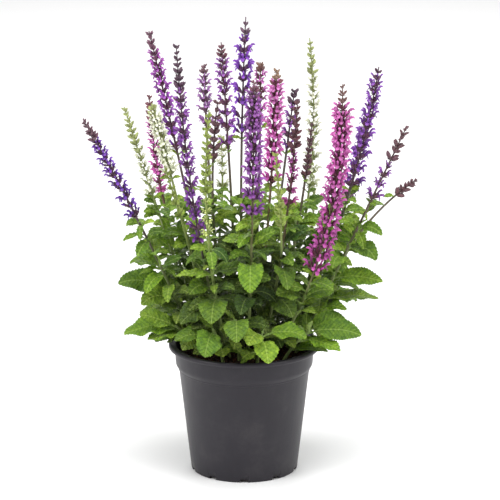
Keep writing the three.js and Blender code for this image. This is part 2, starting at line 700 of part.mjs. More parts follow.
// A square stem from the bottom of its hole, upright in the compost, to just under its spike, with each of
// its leaves and branches grown out of the face that looks its way, between two rings a petiole's height
// apart.
function stemGeometry(stem, leaves, branches) {
  const points = [];
  const triangles = [];
  const sides = STEM.sides;
  const sprouts = [
    ...leaves.map((leaf) => ({ t: leaf.t, heading: leaf.heading, grow: addLeaf, thing: leaf })),
    ...branches.map((branch) => ({ ...branch.fork, grow: addBranch, thing: branch })),
  ];
  let turn = 0;
  const bottom = stem.foot.clone().setZ(stem.foot.z - HOLE.depth + GAP);
  let last = addRing(points, bottom, new THREE.Vector3(0, 0, 1), STEM.footRadius, turn, sides);
  closeRing(triangles, last, sides, false);
  for (const level of stemLevels(stem, sprouts)) {
    if (level.sprouts.length === 0) {
      const ring = addRing(points, level.point, level.ahead, level.radius, turn, sides);
      joinRings(triangles, last, ring, sides);
      last = ring;
      continue;
    }
    turn = turnTowards(level.sprouts[0].heading, turn);
    const [low, high] = [-1, 1].map((way) => {
      const centre = level.point.clone().addScaledVector(level.ahead, way * LEAF.petioleHalfHeight);
      return addRing(points, centre, level.ahead, level.radius, turn, sides);
    });
    joinRings(triangles, last, low, sides);
    const used = level.sprouts.map((sprout) => faceTowards(sprout.heading, turn));
    level.sprouts.forEach((sprout, i) => {
      const k = used[i];
      const n = (k + 1) % sides;
      const root = { left: { top: high + n, bottom: low + n }, right: { top: high + k, bottom: low + k } };
      sprout.grow(sprout.thing, root, points, triangles);
    });
    joinRings(triangles, low, high, sides, used);
    last = high;
  }
  closeRing(triangles, last, sides, true);
  return geometryOf(points, triangles);
}

// ---------------------------------------------------------------- flower spikes

// The whorls of a spike, from its foot: flowers as far as it is open, then closer and smaller buds. Each
// has the shares of the stem's curve that it starts and ends at, and how far it reaches.
function whorlsOf(stem) {
  const { spike, curve } = stem;
  const length = vector(spike.base).distanceTo(vector(spike.tip));
  const flowers = Math.round((length * spike.open) / FLOWER.pitch);
  const open = flowers === 0 ? 0 : spike.open;
  const buds = Math.max(BUD.fewest, Math.round((length * (1 - open)) / BUD.pitch));
  const whorls = [];
  const add = (from, to, radius, bud) => {
    whorls.push({ t: mix(stem.end, 1, from), next: mix(stem.end, 1, to), radius, bud });
  };
  for (let k = 0; k < flowers; k++) {
    const reach = spike.radius * mix(...FLOWER.taper, k / flowers);
    add((open * k) / flowers, (open * (k + 1)) / flowers, reach, false);
  }
  for (let k = 0; k < buds; k++) {
    const reach = Math.min(spike.radius, BUD.reach) * mix(...BUD.taper, k / buds);
    add(mix(open, 1, k / buds), mix(open, 1, (k + 1) / buds), reach, true);
  }
  return whorls;
}

// One closed body: square waists along the axis, each turned an eighth from the last, and four florets
// between two waists. A flower has a lower lip that reaches out, a mouth, and an upper lip that arches up
// over it. A bud has one point.
function spikeGeometry(stem) {
  const points = [];
  const triangles = [];
  const petals = STEM.sides;
  const eighth = Math.PI / petals;
  let turn = 0;
  let low = null;
  for (const whorl of whorlsOf(stem)) {
    const from = stem.curve.at(whorl.t);
    const ahead = stem.curve.at(whorl.next).sub(from);
    const ringAt = (share, radius, way) => {
      const centre = from.clone().addScaledVector(ahead, share);
      return addRing(points, centre, ahead.clone().normalize(), radius, way, petals);
    };
    const waist = whorl.bud ? BUD.waist : FLOWER.waist;
    if (low === null) {
      low = ringAt(GAP / ahead.length(), waist, turn);
      closeRing(triangles, low, petals, false);
    }
    const facing = turn + eighth;
    const tips = whorl.bud
      ? [ringAt(BUD.pointUp, whorl.radius, facing)]
      : Object.values(FLORET).map(([out, up]) => ringAt(up, out * whorl.radius, facing));
    const high = ringAt(1, waist, facing);
    for (let k = 0; k < petals; k++) {
      const n = (k + 1) % petals;
      const chain = tips.map((ring) => ring + k);
      triangles.push([low + k, low + n, chain[0]]);
      for (let i = 0; i + 1 < chain.length; i++) {
        triangles.push([low + k, chain[i], chain[i + 1]], [chain[i], low + n, chain[i + 1]]);
      }
      const last = chain[chain.length - 1];
      triangles.push([low + k, last, high + k], [last, low + n, high + k], [low + n, high + n, high + k]);
    }
    low = high;
    turn = facing;
  }
  closeRing(triangles, low, petals, true);
  return geometryOf(points, triangles);
}

// ---------------------------------------------------------------- pot and compost

// The pot's outline, from the middle of the underside, out and up, over the rolled rim and down the inside.
function potOutline() {
  const lip = POT.height - POT.rimThickness;
  const groove = POT.height - POT.rimGroove;
  return [
    [0, 0],
    [POT.baseRadius, 0],
    [POT.bodyTopRadius, POT.bodyTopZ],
    [POT.shoulderRadius, POT.bodyTopZ + POT.shoulderRise],
    [POT.collarRadius, lip],
    [POT.rimRadius - POT.rimUnderBead, lip],
    [POT.rimRadius, lip + POT.rimBead],
    [POT.rimRadius - POT.rimBead, POT.height],
    [POT.rimRadius - POT.rimCrown, POT.height],
    [POT.collarRadius + POT.wall / 2, groove],
    [POT.collarRadius - POT.wall, groove],
    [POT.shoulderRadius - POT.wall, POT.bodyTopZ + POT.shoulderRise + POT.wall],
    [POT.bodyTopRadius - POT.wall, POT.bodyTopZ + POT.wall],
    [POT.baseRadius - POT.wall, POT.floor],
    [0, POT.floor],
  ].map(([r, z]) => new THREE.Vector2(r, z));
}

// A lathe turns about +Y, so the outline is turned and then stood up along +Z.
function turned(outline, sides) {
  return new THREE.LatheGeometry(outline, sides).rotateX(Math.PI / 2);
}

function potGeometry() {
  let pot = solidOf(turned(potOutline(), POT.sides));
  for (let i = 0; i < SLOTS.count; i++) {
    const slot = new THREE.BoxGeometry(SLOTS.depth * 2, SLOTS.width, SLOTS.height * 2);
    slot.translate(POT.baseRadius, 0, 0);
    slot.rotateZ(-Math.PI / 2 + (2 * Math.PI * i) / SLOTS.count);
    pot = pot.subtract(solidOf(slot));
  }
  return geometryFrom(pot);
}

// Compost that fills the pot to a lumpy surface, with a plain upright hole for each root.
function compostGeometry(stems) {
  const inset = POT.wall + COMPOST.clearance;
  const edge = POT.shoulderRadius - inset;
  const outline = [
    [0, POT.floor + GAP],
    [POT.baseRadius - inset, POT.floor + GAP],
    [POT.bodyTopRadius - inset, POT.bodyTopZ + POT.wall],
    [edge, POT.bodyTopZ + POT.shoulderRise + POT.wall + COMPOST.clearance],
    ...COMPOST.rings.map((share) => [edge * share, COMPOST.level]),
    [0, COMPOST.level],
  ].map(([r, z]) => new THREE.Vector2(r, z));
  const block = turned(outline, POT.sides);
  const points = block.attributes.position;
  for (let i = 0; i < points.count; i++) {
    const [x, y, z] = [points.getX(i), points.getY(i), points.getZ(i)];
    if (z > COMPOST.level - GAP && Math.hypot(x, y) < edge - GAP) points.setZ(i, compostTop(x, y));
  }
  let compost = solidOf(block);
  for (const stem of stems.values()) {
    if (stem.fork) continue;
    const hole = new THREE.CylinderGeometry(HOLE.radius, HOLE.radius, 2 * HOLE.depth, HOLE.sides);
    hole.rotateX(Math.PI / 2).rotateZ(HOLE.turn).translate(stem.foot.x, stem.foot.y, stem.foot.z);
    compost = compost.subtract(solidOf(hole));
  }
  return geometryFrom(compost);
}

// ---------------------------------------------------------------- the object

function meshOf(name, geometry, colour) {
  const mesh = new THREE.Mesh(geometry, new THREE.MeshStandardMaterial(COLOURS[colour]));
  mesh.name = name;
  return mesh;
}

const salvia = new THREE.Group();
const stems = growStems();
const leaves = growLeaves(stems);

salvia.add(meshOf("pot", potGeometry(), "pot"));
salvia.add(meshOf("compost", compostGeometry(stems), "compost"));
for (const stem of stems.values()) {
  if (stem.spike) salvia.add(meshOf(`flower_spike_${stem.id}`, spikeGeometry(stem), stem.spike.kind));
  if (stem.fork) continue;
  const ownLeaves = leaves.filter((leaf) => leaf.owner === stem.id);
  const name = `leafy_${stem.spike ? "stem" : "shoot"}_${stem.id}`;
  salvia.add(meshOf(name, stemGeometry(stem, ownLeaves, branchesOf(stem, stems)), "stem"));
}

export default salvia;
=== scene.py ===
"""Perennial salvia in a nursery pot: the fine surface, built round the CAD frame.

Sizes and places are in millimetres in the tables below, in the row frame, and become metres when a mesh is
made. The stems, leaves and spikes are laid out by the same dimensions and the same seeded rule as the frame's
solids, so each fine leaf and flower lies where its solid is. What the solids leave out is added from there:
small leaves in the axils, bracts, veins, teeth, calyces, petals and crumbs of compost.
"""

import math
from collections import namedtuple
from itertools import combinations

import bpy
import numpy as np
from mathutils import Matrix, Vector, noise


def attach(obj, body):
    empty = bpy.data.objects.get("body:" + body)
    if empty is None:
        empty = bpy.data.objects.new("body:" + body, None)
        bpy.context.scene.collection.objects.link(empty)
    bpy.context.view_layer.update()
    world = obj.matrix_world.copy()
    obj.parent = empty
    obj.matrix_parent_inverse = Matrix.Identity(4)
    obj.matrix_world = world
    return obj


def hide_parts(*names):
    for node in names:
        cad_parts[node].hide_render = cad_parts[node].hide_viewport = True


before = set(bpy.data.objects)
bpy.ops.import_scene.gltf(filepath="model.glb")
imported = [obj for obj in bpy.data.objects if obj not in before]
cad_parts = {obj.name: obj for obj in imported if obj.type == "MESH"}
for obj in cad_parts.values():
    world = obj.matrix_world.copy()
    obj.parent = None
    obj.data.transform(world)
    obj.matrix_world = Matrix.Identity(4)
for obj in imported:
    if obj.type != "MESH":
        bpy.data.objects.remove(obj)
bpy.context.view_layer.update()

MM = 0.001

# ---------------------------------------------------------------- driving dimensions of the frame

POT_RIM_RADIUS = 95
POT_BASE_RADIUS = 67
POT_BODY_TOP = (82.4, 131.5)  # radius, height
POT_SHOULDER = (86.3, 137.5)
POT_HEIGHT = 164
POT_WALL = 1.4
POT_FLOOR = 2.2
SLOTS = 10
SLOT_SIZE = (18, 10, 7.6)  # a box that straddles the foot of the wall: along the radius, across, up

COMPOST_LEVEL = 150
COMPOST_CROWN = 4
COMPOST_LUMP = 1.4
COMPOST_LUMP_PITCH = (9, 8)
COMPOST_CLEARANCE = 0.4

HOLE_DEPTH = 14  # of the plain hole that a stem stands in
ROOT_SHARE = 0.42  # how far out a stem's root is, as a share of its spike's base
ROOT_LIMIT = 66
ROOT_ABOVE = 1
GAP = 0.3
STEM_FOOT_RADIUS = 2.3
STEM_TOP_RADIUS = 1.6
SHOOT_BEND = (0.4, 0.5)  # the middle of a shoot, as shares of the way out and up to its tip

FLOWER_PITCH = 17
FLOWER_TAPER = (0.94, 0.8)
BUD_PITCH = 11
BUD_TAPER = (1, 0.45)
BUD_REACH = 6.3
FEWEST_BUDS = 2

LEAF_FOLD = 0.22
ROLLED_BY = 0.45  # the share of its length over which a leaf rolls from level to its own roll
PETIOLE_HALF_WIDTH = 1
BASE_BULGE = 0.5
TIP_TAPER = 0.75
OUTLINE_PEAK = 0.4396
STALK_ON_STEM = 5  # length of a leaf's own stalk
STALK_ON_SHOOT = 14
OPPOSITE = (0, 180)  # leaves stand in pairs, in degrees round their stem

# Spikes: look, base, tip, reach of an open flower, and the share of the spike that is in flower.
Spike = namedtuple("Spike", "look base tip reach share")
SPIKES = {
    "01": ("violet", (-132, -35, 333), (-195, -60, 463), 11, 0.74),
    "02": ("white", (-114, 25, 347), (-150, 45, 457), 9, 0.5),
    "03": ("magenta", (-103, 60, 338), (-120, 95, 461), 9.5, 0.7),
    "04": ("white", (-91, 5, 378), (-115, 15, 468), 10, 0.8),
    "05": ("bud", (-79, -25, 334), (-98, -45, 403), 6.5, 0),
    "06": ("purple", (-84, 40, 401), (-119, 70, 548), 12, 0.78),
    "07": ("dusk", (-53, -60, 304), (-82, -60, 557), 11.5, 0.76),
    "08": ("mist", (-48, 95, 421), (-51, 125, 494), 10, 0.75),
    "09": ("bud", (-44, -75, 320), (-42, -100, 486), 7, 0.3),
    "10": ("dark", (-39, 20, 392), (-33, 20, 469), 7.5, 0),
    "11": ("lilac", (-20, 60, 400), (-29, 80, 532), 12, 0.78),
    "12": ("blue", (-3, 25, 425), (2, 30, 574), 13.5, 0.76),
    "13": ("mauve", (20, 90, 423), (20, 115, 499), 10.5, 0.8),
    "14": ("amethyst", (10, -75, 345), (12, -95, 519), 13.5, 0.88),
    "15": ("pink", (33, -10, 369), (40, -20, 518), 13, 0.86),
    "16": ("dusk", (53, 45, 401), (63, 60, 475), 10, 0.7),
    "17": ("rose", (54, -45, 351), (65, -60, 490), 10, 0.45),
    "18": ("white", (82, 75, 342), (82, 95, 534), 10, 0.7),
    "19": ("dark", (76, 5, 375), (84, 10, 445), 6.5, 0),
    "20": ("orchid", (85, -65, 270), (119, -80, 513), 15.5, 0.86),
    "21": ("plum", (133, 20, 359), (167, 30, 511), 13, 0.86),
    "22": ("plum", (129, 65, 332), (154, 95, 431), 11.5, 0.85),
    "23": ("umber", (157, -20, 353), (200, -30, 450), 10.5, 0.45),
    "24": ("dark", (190, 30, 347), (217, 40, 365), 5.5, 0),
    "25": ("bud", (45, -85, 335), (38, -115, 436), 6.5, 0),
    "26": ("white", (-28, 105, 337), (-30, 140, 399), 9, 0.7),
    "27": ("white", (85, 110, 275), (83, 150, 376), 9, 0.7),
}

# Spikes on side branches: the stem that each leaves, and the height there.
BRANCHES = {"05": ("04", 270), "24": ("23", 262), "25": ("17", 286), "26": ("08", 262), "27": ("18", 215)}

# Leafy shoots: root, and tip.
SHOOTS = {
    "a": ((-46, -26), (-86, -45, 199)),
    "b": ((-56, 12), (-93, 8, 231)),
    "c": ((-26, -52), (-38, -73, 203)),
    "d": ((16, -60), (22, -81, 200)),
    "e": ((50, -38), (84, -59, 198)),
    "f": ((52, 40), (94, 67, 214)),
    "g": ((4, 64), (6, 101, 207)),
    "h": ((-42, 50), (-75, 85, 212)),
    "i": ((-6, -46), (-10, -77, 216)),
}

# Leaves given one by one: stem, height, heading, rise, droop, length, width.
SET_LEAVES = [
    ("a", 188, 184, 30, 62, 80, 31),
    ("a", 180, 202, 34, 60, 64, 29),
    ("a", 194, 164, 24, 26, 70, 30),
    ("b", 222, 182, 48, 70, 78, 32),
    ("b", 212, 140, 40, 60, 62, 30),
    ("b", 226, 215, 52, 40, 58, 32),
    ("b", 196, 160, 20, 46, 66, 30),
    ("c", 198, 256, 22, 88, 56, 36),
    ("c", 186, 196, 34, 60, 58, 30),
    ("c", 176, 286, 8, 42, 34, 22),
    ("d", 194, 350, 34, 66, 60, 30),
    ("d", 190, 284, 16, 86, 48, 32),
    ("d", 172, 232, 12, 36, 32, 20),
    ("d", 196, 246, 40, 86, 44, 27),
    ("e", 192, 352, 22, 44, 70, 30),
    ("e", 182, 332, 28, 44, 70, 28),
    ("e", 194, 296, 30, 92, 46, 30),
    ("e", 190, 24, 40, 50, 62, 30),
    ("f", 206, 30, 12, 50, 72, 32),
    ("f", 196, 62, 18, 52, 66, 32),
    ("f", 210, 350, 44, 50, 64, 30),
    ("f", 186, 95, 22, 60, 54, 28),
    ("g", 202, 92, 34, 66, 68, 34),
    ("g", 194, 62, 18, 56, 58, 30),
    ("g", 198, 128, 30, 60, 62, 32),
    ("h", 202, 134, 16, 50, 70, 34),
    ("h", 196, 160, 20, 56, 66, 32),
    ("h", 188, 106, 20, 60, 58, 30),
    ("h", 208, 190, 40, 60, 58, 28),
    ("i", 212, 272, 34, 104, 56, 34),
    ("i", 200, 196, 26, 76, 56, 32),
    ("i", 200, 338, 24, 80, 54, 32),
    ("i", 184, 236, 14, 76, 42, 26),
    ("09", 270, 182, 18, 26, 58, 20),
    ("09", 270, 4, 34, 52, 44, 24),
    ("09", 236, 262, 16, 84, 50, 37),
    ("14", 282, 268, 26, 116, 56, 33),
    ("14", 282, 92, 50, 50, 36, 20),
    ("14", 306, 12, 50, 34, 36, 18),
    ("14", 306, 192, 46, 60, 40, 20),
    ("17", 268, 285, 40, 122, 52, 30),
    ("17", 300, 350, 58, 40, 42, 24),
    ("04", 300, 216, 50, 96, 46, 32),
    ("01", 268, 168, 42, 74, 44, 32),
    ("01", 268, 348, 50, 40, 30, 18),
    ("07", 250, 240, 40, 90, 44, 28),
    ("07", 216, 206, 34, 92, 54, 32),
    ("07", 216, 336, 40, 96, 44, 28),
    ("01", 226, 214, 30, 84, 56, 32),
    ("01", 226, 150, 40, 70, 52, 28),
    ("10", 244, 250, 60, 100, 46, 28),
    ("15", 252, 262, 60, 104, 48, 30),
    ("17", 226, 300, 36, 96, 54, 32),
    ("17", 226, 230, 40, 100, 46, 28),
    ("19", 240, 290, 56, 96, 46, 28),
    ("14", 236, 236, 30, 96, 50, 30),
    ("20", 236, 20, 40, 60, 44, 26),
    ("20", 236, 200, 50, 70, 40, 24),
    ("23", 292, 330, 30, 96, 46, 25),
    ("23", 252, 345, 14, 30, 64, 26),
    ("23", 222, 2, 18, 34, 72, 28),
    ("23", 222, 262, 40, 96, 50, 30),
    ("21", 290, 8, 46, 64, 48, 26),
    ("21", 290, 188, 50, 60, 32, 20),
    ("22", 262, 50, 40, 66, 54, 30),
]

# Rule for the other leaves of the frame, as its solids follow it.
RULE_SEED = 20
FIRST_Z, LAST_Z, PITCH_Z, JITTER_Z = 184, 330, 46, 14
UNDER_SPIKE = 14
NODE_GAP = 14
RISE, DROOP = (20, 60), (60, 115)
LONGEST, SHORTEST = 62, 38
LENGTH_SPREAD = (0.85, 1.1)
WIDTH_SHARES = 0.54, 0.42
STALK = (9, 4)
SETTLE_TRIES, SETTLE_TURN, SETTLE_RISE, SETTLE_SHRINK = 36, 110, 70, 0.38
SETTLE_FACE, SETTLE_ROLL = 40, 56  # a leaf turns its face to the front, and some more either way
GRID_ROWS = np.arange(1, 13) / 12
GRID_COLUMNS = np.array([-1, -0.67, -0.33, 0, 0.33, 0.67, 1])
CLEAR_LEAF, CLEAR_STEM, CLEAR_FLORET, CLEAR_RIM = 2.6, 3.2, 1.5, 5
CLEAR_STEP = 4
CLEAR_WIDEST = 18  # no obstacle reaches further
OBSTACLE_ROOM = 200_000  # points
FIRST_LOOK = 9  # every ninth sample is tried first, because most tries fail on a few of them
RIM_POINTS, RIM_INSET, RIM_DEPTH = 72, 4, 2
OVER_COMPOST, UNDER_RIM = 6, 12
OWN_SHARE, OWN_LEAF_ROW, OWN_STEM_ROW, OTHER_ROW = 0.7, 1, 5, 2


# ---------------------------------------------------------------- small tools


def mix(a, b, share):
    return a + (b - a) * share


def vec(*numbers):
    return np.array(numbers, float)


def unit(v):
    return v / np.linalg.norm(v, axis=-1, keepdims=True)


def bell(x, width):
    """1 where x is 0, and less to both sides."""
    return np.exp(-((x / width) ** 2))


def angles_round(count):
    return 2 * np.pi * np.arange(count) / count


def eastward(ahead):
    """The direction square to ahead that is nearest to x."""
    return unit(np.cross(ahead, np.cross(vec(1, 0, 0), ahead)))


def smooth_step(x, low, high):
    t = np.clip((x - low) / (high - low), 0, 1)
    return t * t * (3 - 2 * t)


def random_stream(seed):
    """The frame's own stream of numbers from 0 to 1, in 32-bit whole numbers."""
    bits = 0xFFFFFFFF
    state = seed & bits

    def draw():
        nonlocal state
        state = (state + 0x6D2B79F5) & bits
        t = ((state ^ (state >> 15)) * (1 | state)) & bits
        t ^= (t + (t ^ (t >> 7)) * (61 | t)) & bits
        return (t ^ (t >> 14)) / 2**32

    return draw


# ---------------------------------------------------------------- stems, branches and shoots as curves

NEARBY = 0.01  # the share of a curve over which its direction is measured
HALVINGS = 24


class Curve:
    """The smooth curve through a foot, a middle point and a tip."""

    def __init__(self, foot, middle, tip):
        self.foot, self.middle, self.tip = foot, middle, tip
        lower = np.linalg.norm(middle - foot)
        self.share = lower / (lower + np.linalg.norm(tip - middle))

    def at(self, t):
        t = np.asarray(t, float)[..., None]
        s = self.share
        point = self.foot * (t - s) * (t - 1) / s
        point = point + self.middle * t * (t - 1) / (s * (s - 1))
        return point + self.tip * t * (t - s) / (1 - s)

    def ahead(self, t):
        return unit(self.at(np.asarray(t) + NEARBY) - self.at(np.asarray(t) - NEARBY))

    def share_at_height(self, z):
        s = self.share
        foot, middle, tip = self.foot[2] / s, self.middle[2] / (s * (s - 1)), self.tip[2] / (1 - s)
        low, high = 0.0, 1.0
        for _ in range(HALVINGS):
            t = (low + high) / 2
            if foot * (t - s) * (t - 1) + middle * t * (t - 1) + tip * t * (t - s) < z:
                low = t
            else:
                high = t
        return (low + high) / 2


class Stem:
    """A stem, a branch or a shoot.

    owner is the stem whose node it is part of. end is the share of its curve at which its spike starts, and
    fork is the share of its owner's curve at which a branch leaves it.
    """

    def __init__(self, name, owner, curve, end, spike=None, fork=None):
        self.name, self.owner, self.curve, self.end = name, owner, curve, end
        self.spike, self.fork = spike, fork
        self.span = np.linalg.norm(curve.foot - curve.at(end)) / end


def compost_top(x, y):
    out = np.hypot(x, y) / POT_BODY_TOP[0]
    lump = np.sin(x / COMPOST_LUMP_PITCH[0] + 1) * np.cos(y / COMPOST_LUMP_PITCH[1])
    return COMPOST_LEVEL + COMPOST_CROWN * (1 - out * out) + COMPOST_LUMP * lump


def root_at(x, y):
    shrink = min(1, ROOT_LIMIT / max(math.hypot(x, y), 1))
    return vec(x * shrink, y * shrink, compost_top(x * shrink, y * shrink) + ROOT_ABOVE)


def grow_stems():
    """All stems by name: those from the crown, then their branches, then the shoots."""
    spikes = {name: Spike(*row) for name, row in SPIKES.items()}
    stems = {}
    for name, spike in spikes.items():
        if name not in BRANCHES:
            base = vec(*spike.base)
            curve = Curve(root_at(*(base[:2] * ROOT_SHARE)), base, vec(*spike.tip))
            stems[name] = Stem(name, name, curve, curve.share, spike)
    for name, (parent, height) in BRANCHES.items():
        spike = spikes[name]
        trunk = stems[parent].curve
        fork = trunk.share_at_height(height)
        curve = Curve(trunk.at(fork), vec(*spike.base), vec(*spike.tip))
        stems[name] = Stem(name, parent, curve, curve.share, spike, fork)
    for name, (root, tip) in SHOOTS.items():
        foot, tip = root_at(*root), vec(*tip)
        middle = mix(foot, tip, SHOOT_BEND[0])
        middle[2] = mix(foot[2], tip[2], SHOOT_BEND[1])
        stems[name] = Stem(name, name, Curve(foot, middle, tip), 1)
    return stems


def frame_whorls(stem):
    """The whorls of the frame's own spike: middle of each on the curve, and its reach."""
    _, base, tip, radius, share = stem.spike
    length = math.dist(base, tip)
    flowers = math.floor(length * share / FLOWER_PITCH + 0.5)
    share = share if flowers else 0
    buds = max(FEWEST_BUDS, math.floor(length * (1 - share) / BUD_PITCH + 0.5))
    whorls = []
    for k in range(flowers):
        reach = radius * mix(*FLOWER_TAPER, k / flowers)
        whorls.append((share * (k + 0.5) / flowers, reach))
    for k in range(buds):
        reach = min(radius, BUD_REACH) * mix(*BUD_TAPER, k / buds)
        whorls.append((mix(share, 1, (k + 0.5) / buds), reach))
    return [(mix(stem.end, 1, s), reach) for s, reach in whorls]


# ---------------------------------------------------------------- leaves, and where they go

CLUMP_MIDDLE, CLUMP_REACH = vec(0, 0, 220), vec(150, 130, 130)  # of the foliage


class Leaf:
    """A leaf on its stem. inside is how deep in the clump it lies: 1 at the middle and 0 or less outside."""

    def __init__(self, stem, z, heading, rise, droop, length, width, roll, stalk):
        self.owner, self.t = stem.owner, stem.curve.share_at_height(z)
        self.start = stem.curve.at(self.t)
        self.heading, self.rise = math.radians(heading), math.radians(rise)
        self.droop, self.roll = math.radians(droop), math.radians(roll)
        self.length, self.width = length, width
        self.stalk = stalk / length
        middle = self.points(vec(0.5), vec(0))[0, 0]
        self.inside = 1 - np.linalg.norm((middle - CLUMP_MIDDLE) / CLUMP_REACH)

    def axes(self, u):
        """Points along the rib, and the directions across the leaf and out of its upper face."""
        pitch = self.rise - self.droop * u
        out = self.length * (math.sin(self.rise) - np.sin(pitch)) / self.droop
        up = self.length * (np.cos(pitch) - math.cos(self.rise)) / self.droop
        ahead = vec(math.cos(self.heading), math.sin(self.heading), 0)
        across = vec(-ahead[1], ahead[0], 0)
        sky = vec(0, 0, 1)
        along = np.outer(np.cos(pitch), ahead) + np.outer(np.sin(pitch), sky)
        normal = np.outer(-np.sin(pitch), ahead) + np.outer(np.cos(pitch), sky)
        roll = (self.roll * np.minimum(1, u / ROLLED_BY))[:, None]
        side = across * np.cos(roll) + normal * np.sin(roll)
        return self.start + np.outer(out, ahead) + np.outer(up, sky), side, np.cross(along, side)

    def half_width(self, u):
        q = np.clip((u - self.stalk) / (1 - self.stalk), 0, 1)
        blade = self.width / 2 * q**BASE_BULGE * (1 - q) ** TIP_TAPER / OUTLINE_PEAK
        return np.maximum(PETIOLE_HALF_WIDTH * (1 - q), blade)

    def points(self, u, v):
        """The frame's own mid surface at every pair of u and v."""
        centre, side, normal = self.axes(u)
        half = self.half_width(u)
        across = np.outer(half, v)
        lift = LEAF_FOLD * np.abs(across)
        return centre[:, None] + side[:, None] * across[..., None] + normal[:, None] * lift[..., None]


class Obstacles:
    """Points that a leaf keeps clear of."""

    def __init__(self):
        self.count, self.names = 0, {}
        self.points, self.reach = np.zeros((OBSTACLE_ROOM, 3)), np.zeros(OBSTACLE_ROOM)
        self.owner, self.blade = np.zeros(OBSTACLE_ROOM, int), np.zeros(OBSTACLE_ROOM, bool)

    def add(self, points, reach, owner, blade=False):
        points = np.asarray(points, float).reshape(-1, 3)
        new = slice(self.count, self.count + len(points))
        self.points[new], self.reach[new], self.blade[new] = points, reach, blade
        self.owner[new] = self.names.setdefault(owner, len(self.names))
        self.count += len(points)

    def clear_of(self, samples, owner, ease=1.0):
        """True if a grid of sample points (rows, columns, 3) keeps its distance from everything here.

        A leaf may come nearer to its own stem and to leaves there, and its lowest rows may touch them. ease
        below 1 shortens every distance.
        """
        flat = samples.reshape(-1, 3)
        over_pot = np.hypot(flat[:, 0], flat[:, 1]) < POT_RIM_RADIUS
        floor = np.where(over_pot, compost_top(flat[:, 0], flat[:, 1]) + OVER_COMPOST, POT_HEIGHT - UNDER_RIM)
        if (flat[:, 2] < floor).any():
            return False
        points = self.points[: self.count]
        room = CLEAR_WIDEST + CLEAR_LEAF
        low, high = flat.min(0) - room, flat.max(0) + room
        near = np.nonzero(((points > low) & (points < high)).all(1))[0]
        points, blade = points[near], self.blade[near]
        own = self.owner[near] == self.names.get(owner, -1)
        reach = (self.reach[near] + CLEAR_LEAF) * np.where(own, OWN_SHARE, 1) * ease
        first = np.where(own, np.where(blade, OWN_LEAF_ROW, OWN_STEM_ROW), OTHER_ROW)
        row = np.repeat(np.arange(1, len(samples) + 1), samples.shape[1])
        for some in (slice(None, None, FIRST_LOOK), slice(None)):
            gap = ((flat[some, None] - points[None]) ** 2).sum(2)
            if ((gap < reach**2) & (row[some, None] >= first)).any():
                return False
        return True


def standing_obstacles(stems):
    """The stems, the whorls of the spikes and the rim of the pot."""
    obstacles = Obstacles()
    for stem in stems.values():
        steps = math.ceil(stem.span * stem.end / CLEAR_STEP)
        obstacles.add(stem.curve.at(stem.end * np.arange(steps + 1) / steps), CLEAR_STEM, stem.name)
        if stem.spike:
            for t, reach in frame_whorls(stem):
                obstacles.add(stem.curve.at(t), reach + CLEAR_FLORET, "spike")
    angle = angles_round(RIM_POINTS)
    rim = POT_RIM_RADIUS - RIM_INSET
    level = np.full(RIM_POINTS, POT_HEIGHT - RIM_DEPTH)
    obstacles.add(np.stack([rim * np.cos(angle), rim * np.sin(angle), level], 1), CLEAR_RIM, "pot")
    return obstacles


def settle_leaf(
    stem, z, heading, rise, droop, length, width, stalk,
    obstacles, leaves, draw, ease=1.0, tries=SETTLE_TRIES,
):
    """Adds a leaf where it is clear: as asked, or else turned, lifted and made smaller, more at each try."""
    for attempt in range(tries):
        spread = attempt / tries
        turn = (draw() - 0.5) * SETTLE_TURN * spread
        lift = (draw() - 0.5) * SETTLE_RISE * spread
        roll = SETTLE_FACE * math.cos(math.radians(heading + turn)) + (draw() - 0.5) * SETTLE_ROLL
        size = 1 - SETTLE_SHRINK * spread
        leaf = Leaf(stem, z, heading + turn, rise + lift, droop, length * size, width * size, roll, stalk)
        samples = leaf.points(GRID_ROWS, GRID_COLUMNS)
        if obstacles.clear_of(samples, leaf.owner, ease):
            leaves.append(leaf)
            obstacles.add(samples, CLEAR_LEAF, leaf.owner, blade=True)
            return


def grow_leaves(stems):
    """The frame's leaves, by its table and its rule, and the obstacles that they leave."""
    draw = random_stream(RULE_SEED)
    obstacles = standing_obstacles(stems)
    leaves = []
    for name, z, heading, rise, droop, length, width in SET_LEAVES:
        stem = stems[name]
        stalk = STALK_ON_STEM if stem.spike else STALK_ON_SHOOT
        settle_leaf(stem, z, heading, rise, droop, length, width, stalk, obstacles, leaves, draw)
    for stem in stems.values():
        if not stem.spike or stem.fork is not None:
            continue
        start = draw() * 180
        pair = 0
        z = FIRST_Z
        while z < min(LAST_Z, stem.spike.base[2] - UNDER_SPIKE):
            height = (z - FIRST_Z) / (LAST_Z - FIRST_Z)
            length = mix(LONGEST, SHORTEST, height * height) * mix(*LENGTH_SPREAD, draw())
            level = z + JITTER_Z * (draw() - 0.5)
            z += PITCH_Z
            t = stem.curve.share_at_height(level)
            sprouts = [leaf.t for leaf in leaves if leaf.owner == stem.name]
            sprouts += [branch.fork for branch in stems.values() if branch.fork and branch.owner == stem.name]
            if any(abs(s - t) * stem.span < NODE_GAP for s in sprouts):
                continue
            for turn in OPPOSITE:
                heading = start + 90 * pair + turn
                rise, droop = mix(*RISE, draw()), mix(*DROOP, draw())
                width, stalk = length * mix(*WIDTH_SHARES, height), mix(*STALK, height)
                settle_leaf(stem, level, heading, rise, droop, length, width, stalk, obstacles, leaves, draw)
            pair += 1
    return leaves, obstacles


# ---------------------------------------------------------------- surfaces

NO_CORNER = -1  # the fourth corner of a triangle
WHITE = vec(1, 1, 1)


